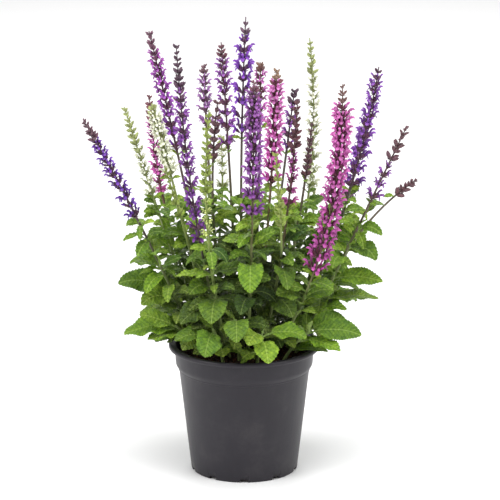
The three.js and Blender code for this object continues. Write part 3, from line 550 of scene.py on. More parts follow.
def tube_faces(rings, sides, flip=False):
    """Faces of a closed tube: a wall of rings, and a fan at each end to one of two points after the rings.

    flip turns them over, for rings that run down.
    """
    row = np.arange(rings - 1)[:, None] * sides
    here = np.arange(sides)
    there = (here + 1) % sides
    wall = np.stack([row + here, row + there, row + sides + there, row + sides + here], -1).reshape(-1, 4)
    none = np.full(sides, NO_CORNER)
    foot = np.stack([there, here, np.full(sides, rings * sides), none], 1)
    last = (rings - 1) * sides
    end = np.stack([last + here, last + there, np.full(sides, rings * sides + 1), none], 1)
    fans = np.concatenate([foot, end])
    if flip:
        wall, fans = wall[:, [0, 3, 2, 1]], fans[:, [1, 0, 2, 3]]
    return np.concatenate([wall, fans])


def ringed(centres, ahead, side, deep, across, sides, ridge=0.0):
    """A closed tube: rings round the centres, deep along side and across square to it, and a point at each
    end. ridge raises the four corners of a square stem.
    """
    angle = angles_round(sides)
    swell = 1 + ridge * np.cos(4 * angle)
    other = np.cross(ahead, side)
    out = side[:, None] * (np.outer(deep, swell * np.cos(angle)))[..., None]
    out = out + other[:, None] * (np.outer(across, swell * np.sin(angle)))[..., None]
    points = (centres[:, None] + out).reshape(-1, 3)
    return np.concatenate([points, centres[:1], centres[-1:]]), tube_faces(len(centres), sides)


def blade_faces(rows, columns):
    """Faces of a closed blade: an upper grid, a lower one that shares its rim, an end at row 0, and a tip."""
    top = np.arange(rows * columns).reshape(rows, columns)
    low = top.copy()
    inner = columns - 2
    low[:, 1:-1] = rows * columns + np.arange(rows * inner).reshape(rows, inner)
    tip = rows * (columns + inner)
    faces = []
    for grid, order in ((top, (0, 1, 2, 3)), (low, (0, 3, 2, 1))):
        corners = np.stack([grid[:-1, :-1], grid[1:, :-1], grid[1:, 1:], grid[:-1, 1:]], -1).reshape(-1, 4)
        faces.append(corners[:, order])
        ends = [grid[-1, :-1], np.full(columns - 1, tip), grid[-1, 1:]]
        ends = ends if grid is top else ends[::-1]
        faces.append(np.stack(ends + [np.full(columns - 1, NO_CORNER)], 1))
    heel = np.stack([top[0, :-1], top[0, 1:], low[0, 1:], low[0, :-1]], 1)
    heel[0, 3] = NO_CORNER
    heel[-1, 2:] = (low[0, -2], NO_CORNER)
    return np.concatenate(faces + [heel])


def blade_points(centre, side, normal, half, columns, lift, deep):
    """Points of a closed blade of rows across centre. lift and deep hold a number for each row and column."""
    across = half[:-1, None] * columns
    top = centre[:-1, None] + side[:-1, None] * across[..., None] + normal[:-1, None] * lift[..., None]
    low = top[:, 1:-1] - normal[:-1, None] * deep[:, 1:-1, None]
    return np.concatenate([top.reshape(-1, 3), low.reshape(-1, 3), centre[-1:]])


def both_faces(upper, lower, tip):
    """A number for each point of a blade, from its upper grid, its lower one, and its tip."""
    return np.concatenate([upper.ravel(), lower[:, 1:-1].ravel(), [tip]])


class Surface:
    """A surface that grows by sets of faces. widths says how many numbers of each name its points carry."""

    def __init__(self, **widths):
        self.widths, self.count = widths, 0
        self.sets = {key: [] for key in ("points", "faces", "slots", *widths)}

    def add(self, points, faces, slot, **values):
        """slot is the material, for all faces or each. The values are for all points or each."""
        self.sets["points"].append(points)
        self.sets["faces"].append(np.where(faces == NO_CORNER, NO_CORNER, faces + self.count))
        self.sets["slots"].append(np.broadcast_to(slot, len(faces)))
        for key, value in values.items():
            self.sets[key].append(np.broadcast_to(value, (len(points), self.widths[key])))
        self.count += len(points)

    def joined(self):
        return {key: np.concatenate(sets) for key, sets in self.sets.items()}


class Body(Surface):
    """One mesh object. paint is a point's colour, and place lays out the streaks and veins of its skin."""

    def __init__(self):
        super().__init__(paint=3, place=3)

    def build(self, name, materials, sharp):
        """Makes the object. Edges of more than sharp degrees stay sharp."""
        joined = self.joined()
        faces = joined["faces"]
        sizes = (faces != NO_CORNER).sum(1)
        corners = faces[faces != NO_CORNER]
        starts = np.concatenate([[0], np.cumsum(sizes)[:-1]])
        mesh = bpy.data.meshes.new(name)
        mesh.vertices.add(self.count)
        mesh.vertices.foreach_set("co", (joined["points"] * MM).astype(np.float32).ravel())
        mesh.loops.add(len(corners))
        mesh.loops.foreach_set("vertex_index", corners.astype(np.int32))
        mesh.polygons.add(len(faces))
        mesh.polygons.foreach_set("loop_start", starts.astype(np.int32))
        mesh.polygons.foreach_set("material_index", joined["slots"].astype(np.int32))
        for material in materials:
            mesh.materials.append(material)
        mesh.update(calc_edges=True)
        mesh.validate()
        for key in self.widths:
            layer = mesh.attributes.new(key, "FLOAT_VECTOR", "POINT")
            layer.data.foreach_set("vector", joined[key].astype(np.float32).ravel())
        mesh.shade_smooth()
        mesh.set_sharp_from_angle(angle=math.radians(sharp))
        piece = bpy.data.objects.new(name, mesh)
        bpy.context.scene.collection.objects.link(piece)
        return piece


def linear(red, green, blue):
    """A colour read off a screen, 0 to 255, as the shader's own linear numbers."""
    c = np.array([red, green, blue]) / 255
    return np.where(c <= 0.04045, c / 12.92, ((c + 0.055) / 1.055) ** 2.4)


# ---------------------------------------------------------------- materials


class Paint:
    """A node material, made a node at a time. Colours are given as seen on a screen, 0 to 255."""

    def __init__(self, name, **inputs):
        self.material = bpy.data.materials.new(name)
        self.material.use_nodes = True
        self.tree = self.material.node_tree
        self.shader = self.tree.nodes["Principled BSDF"]
        for socket, value in inputs.items():
            self.shader.inputs[socket.replace("_", " ")].default_value = value

    def node(self, kind, inputs=(), output=0, **settings):
        """Adds a node, sets its inputs to numbers or links them, and gives its output."""
        made = self.tree.nodes.new("ShaderNode" + kind)
        for key, value in settings.items():
            setattr(made, key, value)
        for key, value in dict(inputs).items():
            if isinstance(value, bpy.types.NodeSocket):
                self.tree.links.new(value, made.inputs[key])
            else:
                made.inputs[key].default_value = value
        return made.outputs[output]

    def math(self, operation, *values):
        return self.node("Math", enumerate(values), operation=operation)

    def rest(self, value):
        """1 less the value."""
        return self.math("SUBTRACT", 1.0, value)

    def step(self, value, low, high):
        """0 below low, 1 above high, and smooth between."""
        ends = {"Value": value, "From Min": low, "From Max": high}
        return self.node("MapRange", ends, interpolation_type="SMOOTHSTEP")

    def range(self, value, low, high):
        """A number from 0 to 1 spread over low to high."""
        return self.node("MapRange", {"Value": value, "To Min": low, "To Max": high})

    def blend(self, share, first, second, kind="MIX"):
        """Mixes two colours, each of them a socket or as seen on a screen."""
        first, second = ((*linear(*c), 1) if isinstance(c, tuple) else c for c in (first, second))
        return self.node("Mix", {0: share, 6: first, 7: second}, 2, data_type="RGBA", blend_type=kind)

    def tinted(self, colour, tint):
        return self.blend(1.0, colour, tint, "MULTIPLY")

    def attribute(self, name):
        return self.node("Attribute", output=1, attribute_name=name)

    def split(self, vector):
        made = self.tree.nodes.new("ShaderNodeSeparateXYZ")
        self.tree.links.new(vector, made.inputs[0])
        return made.outputs[0], made.outputs[1], made.outputs[2]

    def noise(self, vector, scale, detail=3.0, roughness=0.6):
        inputs = {"Vector": vector, "Scale": scale, "Detail": detail, "Roughness": roughness}
        return self.node("TexNoise", inputs)

    def stretched(self, vector, x, y, z):
        return self.node("VectorMath", {0: vector, 1: (x, y, z)}, operation="MULTIPLY")

    def bump(self, height, distance, strength=1.0):
        """Bump by a height of 0 to 1 that stands for distance in metres."""
        inputs = {"Height": height, "Distance": distance, "Strength": strength}
        self.set("Normal", self.node("Bump", inputs))

    def set(self, socket, value):
        self.tree.links.new(value, self.shader.inputs[socket])

    def room(self):
        """The place on the object, in metres."""
        return self.node("TexCoord", output=3)


VEIN_PITCH = 5.4  # from one side vein to the next, along the rib
VEIN_LEAN = 0.8  # how far a side vein runs forward for each millimetre out
VEIN_WANDER, WANDER_SCALE = 0.35, 0.35
VEIN_EDGES = (0.02, 0.14)  # half widths of a side vein's floor and of its banks, as shares of the pitch
RIB_EDGES = (0.3, 0.75)
NET_SCALE = 0.42  # cells of the net between the veins, to a millimetre
NET_EDGES = (0.0, 0.2)
MOTTLE_SCALE, MOTTLE_EDGES = 0.16, (0.32, 0.68)
LEAF_RELIEF = 0.001
LEAF_DARK, LEAF_VEIN_SHADE = (176, 196, 150), (196, 210, 170)  # tints: of the mottle, and of the painted shade in the sunk veins and the net between them
RIB_PALE, LEAF_UNDER = (186, 206, 120), (136, 160, 104)
SKIN_ROUGHNESS = (0.42, 0.62)  # of leaves and stems


def leaf_material():
    p = Paint("salvia_leaf", Roughness=0.5, Specular_IOR_Level=0.4, Sheen_Weight=0.06, Sheen_Roughness=0.5)
    out, along, upper = p.split(p.attribute("place"))
    out = p.math("ABSOLUTE", out)
    flat = p.node("CombineXYZ", {0: out, 1: along})
    wander = p.range(p.noise(flat, WANDER_SCALE), -0.5, 0.5)
    veins = p.math("DIVIDE", p.math("SUBTRACT", along, p.math("MULTIPLY", out, VEIN_LEAN)), VEIN_PITCH)
    cycle = p.math("FRACT", p.math("ADD", veins, p.math("MULTIPLY", wander, VEIN_WANDER)))
    side_vein = p.rest(p.step(p.math("MINIMUM", cycle, p.rest(cycle)), *VEIN_EDGES))
    rib = p.rest(p.step(out, *RIB_EDGES))
    cells = {"Vector": flat, "Scale": NET_SCALE, "Randomness": 1.0}
    net = p.rest(p.step(p.node("TexVoronoi", cells, feature="DISTANCE_TO_EDGE"), *NET_EDGES))
    dome = p.rest(p.node("TexVoronoi", cells, feature="F1"))
    # painted shade: the sunk side veins and the net between the cells are darkened
    sunk = p.math("MAXIMUM", p.math("MULTIPLY", side_vein, 0.5), p.math("MULTIPLY", net, 0.5))
    mottle = p.noise(p.node("CombineXYZ", {0: out, 1: along, 2: upper}), MOTTLE_SCALE, 4.0)
    paint = p.attribute("paint")
    colour = p.blend(p.step(mottle, *MOTTLE_EDGES), p.tinted(paint, LEAF_DARK), paint)
    colour = p.blend(sunk, colour, p.tinted(colour, LEAF_VEIN_SHADE))
    colour = p.blend(p.math("MULTIPLY", rib, 0.8), colour, p.blend(0.3, paint, RIB_PALE))
    colour = p.blend(p.step(upper, -0.2, 0.2), p.blend(0.35, colour, LEAF_UNDER), colour)
    p.set("Base Color", colour)
    p.set("Roughness", p.range(mottle, *SKIN_ROUGHNESS))
    p.bump(p.math("ADD", dome, p.math("MULTIPLY", p.rest(side_vein), 0.6)), LEAF_RELIEF)
    return p.material


STEM_STRETCH, STEM_DARK, STEM_STREAKS = (1.6, 0.12, 1.6), (188, 176, 170), (0.35, 0.62)


def stem_material():
    p = Paint("salvia_stem", Roughness=0.5, Sheen_Weight=0.2, Sheen_Roughness=0.5)
    streak = p.noise(p.stretched(p.attribute("place"), *STEM_STRETCH), 1.0, 4.0)
    paint = p.attribute("paint")
    p.set("Base Color", p.blend(p.step(streak, *STEM_STREAKS), p.tinted(paint, STEM_DARK), paint))
    p.set("Roughness", p.range(streak, *SKIN_ROUGHNESS))
    p.bump(streak, 0.0003, 0.7)
    return p.material


PETAL_STRETCH, PETAL_STREAKS = (3.2, 0.5, 3.2), (0.36, 0.6)
FLECK_SCALE, FLECKS = 0.9, (0.62, 0.74)


def flower_material(name, dark, roughness, sheen, relief):
    """Petals and calyces: their own paint, with streaks along them and darker flecks."""
    p = Paint(name, Roughness=roughness, Sheen_Weight=sheen, Sheen_Roughness=0.4)
    place = p.attribute("place")
    streak = p.noise(p.stretched(place, *PETAL_STRETCH), 1.0, 3.0)
    fleck = p.noise(place, FLECK_SCALE, 2.0)
    paint = p.attribute("paint")
    deep = p.tinted(paint, dark)
    colour = p.blend(p.step(streak, *PETAL_STREAKS), deep, paint)
    p.set("Base Color", p.blend(p.step(fleck, *FLECKS), colour, deep))
    p.set("Roughness", p.range(streak, roughness - 0.08, roughness + 0.1))
    p.bump(streak, relief)
    return p.material


PLASTIC_DARK, PLASTIC_LIGHT, DUST = (34, 31, 38), (38, 35, 42), (74, 70, 70)
PLASTIC_UNDER = (10, 9, 10)  # the floor and the inside of the foot, out of the light
UNDER_RADII, UNDER_HEIGHTS = (0.0652, 0.0664), (0.004, 0.006)  # where the underside ends, in metres
DUST_SHARE = 0.25
FLOW_SCALE, GRAIN_SCALE = 90.0, 1500.0  # of the marks to the metre


def pot_material():
    p = Paint("pot_plastic", Roughness=0.4, Specular_IOR_Level=0.3, Coat_Weight=0.08, Coat_Roughness=0.22)
    room = p.room()
    cloud = p.noise(room, 22.0, 4.0)
    flow = p.noise(p.stretched(room, 1.0, 1.0, 0.12), FLOW_SCALE, 3.0)
    grain = p.math("MULTIPLY", p.noise(room, GRAIN_SCALE, 2.0), 0.3)
    plastic = p.blend(p.step(cloud, 0.3, 0.7), PLASTIC_DARK, PLASTIC_LIGHT)
    dust = p.math("MULTIPLY", p.step(p.math("ADD", grain, cloud), 0.62, 0.9), DUST_SHARE)
    x, y, z = p.split(room)
    radius = p.math("SQRT", p.math("ADD", p.math("MULTIPLY", x, x), p.math("MULTIPLY", y, y)))
    outside = p.math("MAXIMUM", p.step(radius, *UNDER_RADII), p.step(z, *UNDER_HEIGHTS))
    p.set("Base Color", p.blend(outside, PLASTIC_UNDER, p.blend(dust, plastic, DUST)))
    gloss = p.math("ADD", p.math("MULTIPLY", flow, 0.6), p.math("MULTIPLY", cloud, 0.4))
    p.set("Roughness", p.range(gloss, 0.34, 0.56))
    p.bump(p.math("ADD", grain, flow), 0.00025, 0.6)
    return p.material


DAMP = (120, 112, 108)  # tint
CRUMB_SCALE, PATCH_SCALE = 260.0, 60.0


def compost_material():
    p = Paint("compost_crumb", Roughness=0.9, Specular_IOR_Level=0.2)
    room = p.room()
    crumb = p.noise(room, CRUMB_SCALE, 6.0, 0.7)
    patch = p.noise(room, PATCH_SCALE, 3.0)
    paint = p.attribute("paint")
    dry = p.step(p.math("ADD", crumb, p.math("MULTIPLY", patch, 0.5)), 0.55, 0.95)
    p.set("Base Color", p.blend(dry, p.tinted(paint, DAMP), paint))
    p.set("Roughness", p.range(crumb, 0.8, 1.0))
    p.bump(crumb, 0.0012)
    return p.material


FLOOR_COLOUR = (0.95, 0.95, 0.95, 1)


def floor_material():
    p = Paint("studio_floor", Roughness=0.8, Specular_IOR_Level=0.1)
    p.shader.inputs["Base Color"].default_value = FLOOR_COLOUR
    return p.material


# ---------------------------------------------------------------- flowers, buds and bracts

PETAL, CALYX, STALK_SKIN = 0, 1, 2  # materials of a spike
LEAF_SKIN, STEM_SKIN = 0, 1  # materials of a leafy stem
FLOWER_REACH = 12  # of the flower as drawn here
BUD_REACH_DRAWN = 4.9
CALYX_RISE = 46
BUD_RISE = 44
PEDICEL = -3.2  # where a flower's own stalk starts, along its calyx
ROW_LENGTH, TIP_ALONG = 2.0, 9  # from ring to ring of a flower part, and to a lip's tip, for its streaks
CALYX_SIDES, CALYX_TEETH = 8, 0.7
PETAL_SIDES = 6


class Shape(Surface):
    """A flower's parts, to be placed many times. A flower reaches out along x, with z up its stalk.

    part is the material that colours a point, and shade is 0 at the throat or root and 1 at the edge.
    """

    def __init__(self):
        super().__init__(part=1, shade=1, place=3)

    def tube(self, part, path, deep, across, sides, shades, heading=None, teeth=0.0):
        """A tube along (x, z) points. heading turns its rings to face one way, teeth cuts its widest ring."""
        path = np.array(path, float)
        centres = np.stack([path[:, 0], np.zeros(len(path)), path[:, 1]], 1)
        if heading is None:
            ahead = unit(np.gradient(centres, axis=0))
        else:
            ahead = np.tile(vec(math.cos(heading), 0, math.sin(heading)), (len(path), 1))
        side = np.stack([-ahead[:, 2], np.zeros(len(path)), ahead[:, 0]], 1)
        points, faces = ringed(centres, ahead, side, vec(*deep), vec(*across), sides)
        mouth = int(np.argmax(deep))
        turn = np.arange(sides)
        points[mouth * sides + turn] += ahead[mouth] * (teeth * np.where(turn % 2, 1, -1))[:, None]
        shade = np.concatenate([np.repeat(shades, sides), [shades[0], shades[-1]]])
        turn = np.tile(turn, len(path))
        along = np.repeat(np.arange(len(path)), sides)
        place = np.stack([turn, along * ROW_LENGTH, turn * 0.0], 1)
        place = np.concatenate([place, place[:1], place[-1:]])
        self.add(points, faces, part, part=part, shade=shade[:, None], place=place)

    def lip(self, part, path, half, columns, thick, cup, shades, spread=0.0, y=0.0):
        """A petal or bract along (x, z) points, half as wide as half, with its edges bent by cup.

        It starts y to the side, and its tip is spread further out.
        """
        path = np.array(path, float)
        rows = len(path) - 1
        centre = np.stack([path[:, 0], y + spread * np.linspace(0, 1, len(path)), path[:, 1]], 1)
        ahead = unit(np.gradient(centre, axis=0))
        side = np.tile(vec(0, 1, 0), (len(path), 1))
        normal = unit(np.cross(ahead, side))
        v = np.linspace(-1, 1, columns)
        half = vec(*half)
        across = np.outer(half[:-1], v)
        lift = cup * np.outer(half[:-1], v * v)
        deep = thick * (1 - v * v) * np.ones((rows, 1))
        points = blade_points(centre, side, normal, half, v, lift, deep)
        shade = np.repeat(vec(*shades)[:-1, None], columns, 1)
        along = np.repeat(np.arange(rows)[:, None] * ROW_LENGTH, columns, 1)
        along = both_faces(along, along, TIP_ALONG)
        place = np.stack([both_faces(across, across, 0), along, along], 1)
        shade = both_faces(shade, shade, shades[-1])[:, None]
        self.add(points, blade_faces(rows, columns), part, part=part, shade=shade, place=place)

    def calyx(self, length):
        """An open calyx with a toothed mouth and its hollow inside."""
        path = along_rise([length * s for s in (PEDICEL / length, 0.12, 0.35, 0.7, 1.0, 0.72)], CALYX_RISE)
        wide = [0.35, 0.55, 1.4, 1.7, 2.1, 1.1]
        shades = [0.1, 0.1, 0.4, 0.7, 1, 0]
        self.tube(CALYX, path, wide, wide, CALYX_SIDES, shades, math.radians(CALYX_RISE), CALYX_TEETH)


def along_rise(distances, rise):
    """Points in the x-z plane at these distances along a line that climbs by rise degrees."""
    c, s = math.cos(math.radians(rise)), math.sin(math.radians(rise))
    return [(d * c, d * s) for d in distances]


def open_flower():
    """A calyx with its throat, a hooded upper lip, and a lower lip of one broad lobe and two small ones."""
    shape = Shape()
    shape.calyx(7.2)
    throat = [(3.4, 3.4), (5.4, 5.4), (6.9, 6.5), (7.6, 6.8)]
    shape.tube(PETAL, throat, [0.7, 1.0, 1.5, 1.3], [0.7, 1.0, 1.3, 1.1], PETAL_SIDES, [0, 0.2, 0.4, 0])
    hood = [(5.8, 6.0), (6.7, 8.2), (8.2, 10.0), (10.2, 10.7), (12.0, 9.8)]
    deep, across = [1.0, 1.3, 1.45, 1.25, 0.35], [1.0, 1.25, 1.25, 1.0, 0.3]
    shape.tube(PETAL, hood, deep, across, PETAL_SIDES, [0.2, 0.45, 0.75, 1, 1])
    lobe = [(6.3, 5.7), (8.0, 5.5), (9.4, 4.5), (10.2, 3.0), (10.2, 2.2)]
    shape.lip(PETAL, lobe, [0.9, 1.2, 2.1, 1.6, 0], 5, 0.5, -0.25, [0.3, 0.6, 0.9, 1, 1])
    wing = [(6.6, 5.6), (7.8, 5.7), (8.8, 5.2), (9.2, 4.7)]
    for way in (-1, 1):
        shape.lip(PETAL, wing, [0.6, 0.9, 0.7, 0], 3, 0.45, -0.2, [0.3, 0.7, 1, 1], 2.4 * way, 0.4 * way)
    return shape.joined()


def young_flower():
    """A calyx with a petal bud still folded in it."""
    shape = Shape()
    shape.calyx(6.6)
    bud = [(3.2, 3.2), (5.2, 5.4), (6.7, 7.2), (8.2, 8.4), (9.2, 8.5)]
    deep, across = [0.7, 1.1, 1.35, 1.15, 0.35], [0.7, 1.0, 1.2, 1.0, 0.3]
    shape.tube(PETAL, bud, deep, across, PETAL_SIDES, [0, 0.3, 0.6, 0.9, 1])
    return shape.joined()


def closed_bud():
    shape = Shape()
    path = along_rise([0.7, 2.2, 4.0, 5.6, 6.8], BUD_RISE)
    wide = [0.4, 1.15, 1.45, 1.0, 0.2]
    shape.tube(CALYX, path, wide, wide, PETAL_SIDES, [0.2, 0.5, 0.8, 0.9, 1])
    return shape.joined()


def spent_calyx():
    shape = Shape()
    shape.calyx(7.4)
    return shape.joined()


def bract():
    shape = Shape()
    leaf = [(0.8, -0.6), (2.4, -0.9), (4.4, -0.5), (6.0, 0.3), (7.2, 1.4)]
    shape.lip(CALYX, leaf, [0.8, 1.9, 2.0, 1.1, 0], 5, 0.4, 0.3, [0.2, 0.6, 0.9, 1, 1])
    return shape.joined()


SHAPES = {
    "open": open_flower(),
    "young": young_flower(),
    "bud": closed_bud(),
    "spent": spent_calyx(),
    "bract": bract(),
}


def turned(out, up, yaw, pitch):
    """A flower's outward and upward directions, turned round the stalk and then tipped."""
    side = np.cross(up, out)
    out = out * math.cos(yaw) + side * math.sin(yaw)
    return out * math.cos(pitch) + up * math.sin(pitch), up * math.cos(pitch) - out * math.sin(pitch)


# ---------------------------------------------------------------- flower spikes

VIOLET, MAUVE, PINK = "violet_flower", "mauve_flower", "pink_flower"  # kinds of flower
WHITES, GREEN, DARK = "white_flower", "green_bud", "dark_bud"

# Each look's slot, and its colours as seen on a screen: petals at the foot and at the top of the flowers,
# calyces, buds, and the stalk.
LOOKS = {
    "violet": (VIOLET, (100, 50, 156), (122, 67, 174), (104, 62, 94), (116, 80, 94), (80, 58, 66)),
    "dusk": (VIOLET, (120, 60, 149), (148, 88, 169), (110, 70, 98), (92, 64, 84), (78, 58, 66)),
    "blue": (VIOLET, (126, 64, 172), (135, 74, 182), (112, 68, 106), (114, 82, 104), (82, 58, 68)),
    "plum": (VIOLET, (122, 62, 160), (139, 81, 176), (120, 72, 106), (96, 60, 84), (86, 66, 72)),
    "lilac": (VIOLET, (146, 84, 166), (156, 98, 174), (122, 70, 98), (122, 74, 88), (94, 70, 70)),
    "amethyst": (VIOLET, (142, 80, 160), (154, 92, 166), (116, 72, 104), (124, 76, 94), (114, 106, 68)),
    "mist": (VIOLET, (166, 116, 176), (174, 128, 184), (124, 80, 112), (130, 96, 106), (112, 88, 88)),
    "umber": (VIOLET, (134, 78, 158), (146, 92, 168), (118, 80, 96), (118, 82, 90), (100, 80, 74)),
    "purple": (MAUVE, (132, 66, 173), (172, 88, 176), (122, 70, 104), (126, 82, 104), (84, 50, 66)),
    "mauve": (MAUVE, (190, 98, 178), (196, 118, 184), (122, 70, 84), (144, 110, 92), (102, 76, 70)),
    "magenta": (PINK, (208, 102, 182), (202, 106, 184), (124, 54, 84), (136, 78, 88), (114, 66, 66)),
    "pink": (PINK, (202, 88, 176), (216, 132, 196), (136, 70, 92), (162, 132, 106), (128, 98, 76)),
    "orchid": (PINK, (178, 76, 156), (200, 108, 176), (122, 58, 82), (128, 90, 86), (120, 96, 74)),
    "rose": (PINK, (192, 94, 160), (180, 94, 168), (116, 62, 76), (116, 70, 78), (114, 88, 72)),
    "white": (WHITES, (222, 226, 204), (226, 229, 208), (172, 184, 116), (182, 195, 122), (146, 164, 94)),
    "bud": (GREEN, (190, 202, 126), (196, 206, 132), (148, 170, 72), (158, 178, 80), (146, 168, 80)),
    "dark": (DARK, (110, 70, 110), (110, 70, 110), (108, 66, 74), (110, 74, 82), (92, 70, 66)),
}

# Distance from whorl to whorl at the foot of a spike and at its tip, where it isn't the usual one.
WHORL_PITCH = (17, 6)
WHORL_PITCHES = {
    "01": (15, 5.5), "02": (14, 6), "03": (13, 6), "04": (14, 6), "06": (16, 5.5),
    "07": (18, 7), "09": (16, 8), "10": (13, 8), "11": (23, 5), "12": (20, 9),
    "14": (22, 8), "15": (18, 7), "18": (19, 8), "19": (9, 5.5), "20": (19, 8),
    "21": (19, 8), "23": (19, 6), "24": (7, 4.5),
}
FULL_SPIKES = ("14", "20", "15", "04")  # with five flowers to each side of a whorl
THIN_SPIKES = ("27",)  # with two, where others have three
WIDER_FLOWERS = {"04": 1.18, "08": 1.1, "12": 1.1, "18": 1.1}
WIDER_BUDS = {"09": 1.18, "10": 1.2, "16": 1.12, "17": 1.12, "23": 1.15, "24": 1.3, "25": 1.12}

FLOWER_SEED = 41
CYME_FAN = {2: (-19, 19), 3: (-36, 0, 36), 5: (-64, -32, 0, 32, 64)}  # degrees round the stalk
SPARSE_FROM = 0.6  # how far up the buds each side of a whorl has only two
SPIKE_FOOT = 0.03  # share of the spike at which its lowest whorl stands
TIP_ROOM = 2.5
PITCH_POWER = 0.6  # under 1, so that only the lowest whorls stand apart
OPENING = (-0.1, 0.05)  # where flowers give way to buds, round the share that is in flower
EARLY_BUDS = 0.08  # share of flowers still shut low down
SPENT, SPENT_BELOW = 0.16, 0.3  # chance up to which a flower is over, and how far below the buds that starts
YOUNG_ABOVE, BUDS_AMONG_YOUNG = 0.04, 0.3
LEAST_SHARE = 0.01  # keeps a spike that is all buds from a division by 0
FLOWER_OVER = 1.14  # petals reach a little past the frame's florets
FLOWER_LARGEST = 1.12
SPIKE_TAPER = (1.0, 0.74)  # of the flowers, from the foot of a spike to where its buds start
BUD_REACH_MOST = 7.5
BUD_SIZES = (1.08, 0.52)  # from the lowest bud to the tip
BUD_COLOUR_BY = 3  # calyces have turned to the buds' colour a third of the way up the buds
YAW_SPREAD, PITCH_SPREAD, TURN_SPREAD = (-9, 9), (-12, 10), (-0.1, 0.1)
LIGHT_SPREAD, SIZE_SPREAD, LEVEL_SPREAD = (0.78, 1.2), (0.9, 1.08), (-1.6, 1.6)
THROAT_SHADE_POWER = 1.35  # power that deepens a petal's colour towards its throat: partly its own colour, partly painted shade in the depth of the flower
PETAL_EDGE_HIGHLIGHT = 1.3  # how much lighter its edge is: partly its own colour, partly a painted highlight
CALYX_SHADES, BRACT_SHADES, TUFT_SHADES = vec(0.8, 1.1), vec(0.8, 1.15), vec(0.85, 1.15)  # root and edge
PALEST = 0.92
BRACT_SIZES, BRACT_IN_FLOWER, BRACT_IN_BUD = (1.0, 0.5), 0.9, 0.75
STALK_RADII, STALK_RINGS, STALK_SIDES, STALK_RIDGE = (1.3, 0.6), 24, 8, 0.1
STALK_TIP = 0.6  # how far the stalk's tip takes the buds' colour
TUFT_BUDS, TUFT_SIZE, TUFT_RISE, TUFT_BELOW = 4, 0.32, math.radians(34), 2.4


def look_of(stem):
    """The kind of a stem's flowers, and its colours: petals below and above, calyx, bud and stalk."""
    slot, *colours = LOOKS[stem.spike.look]
    return slot, *(linear(*colour) for colour in colours)


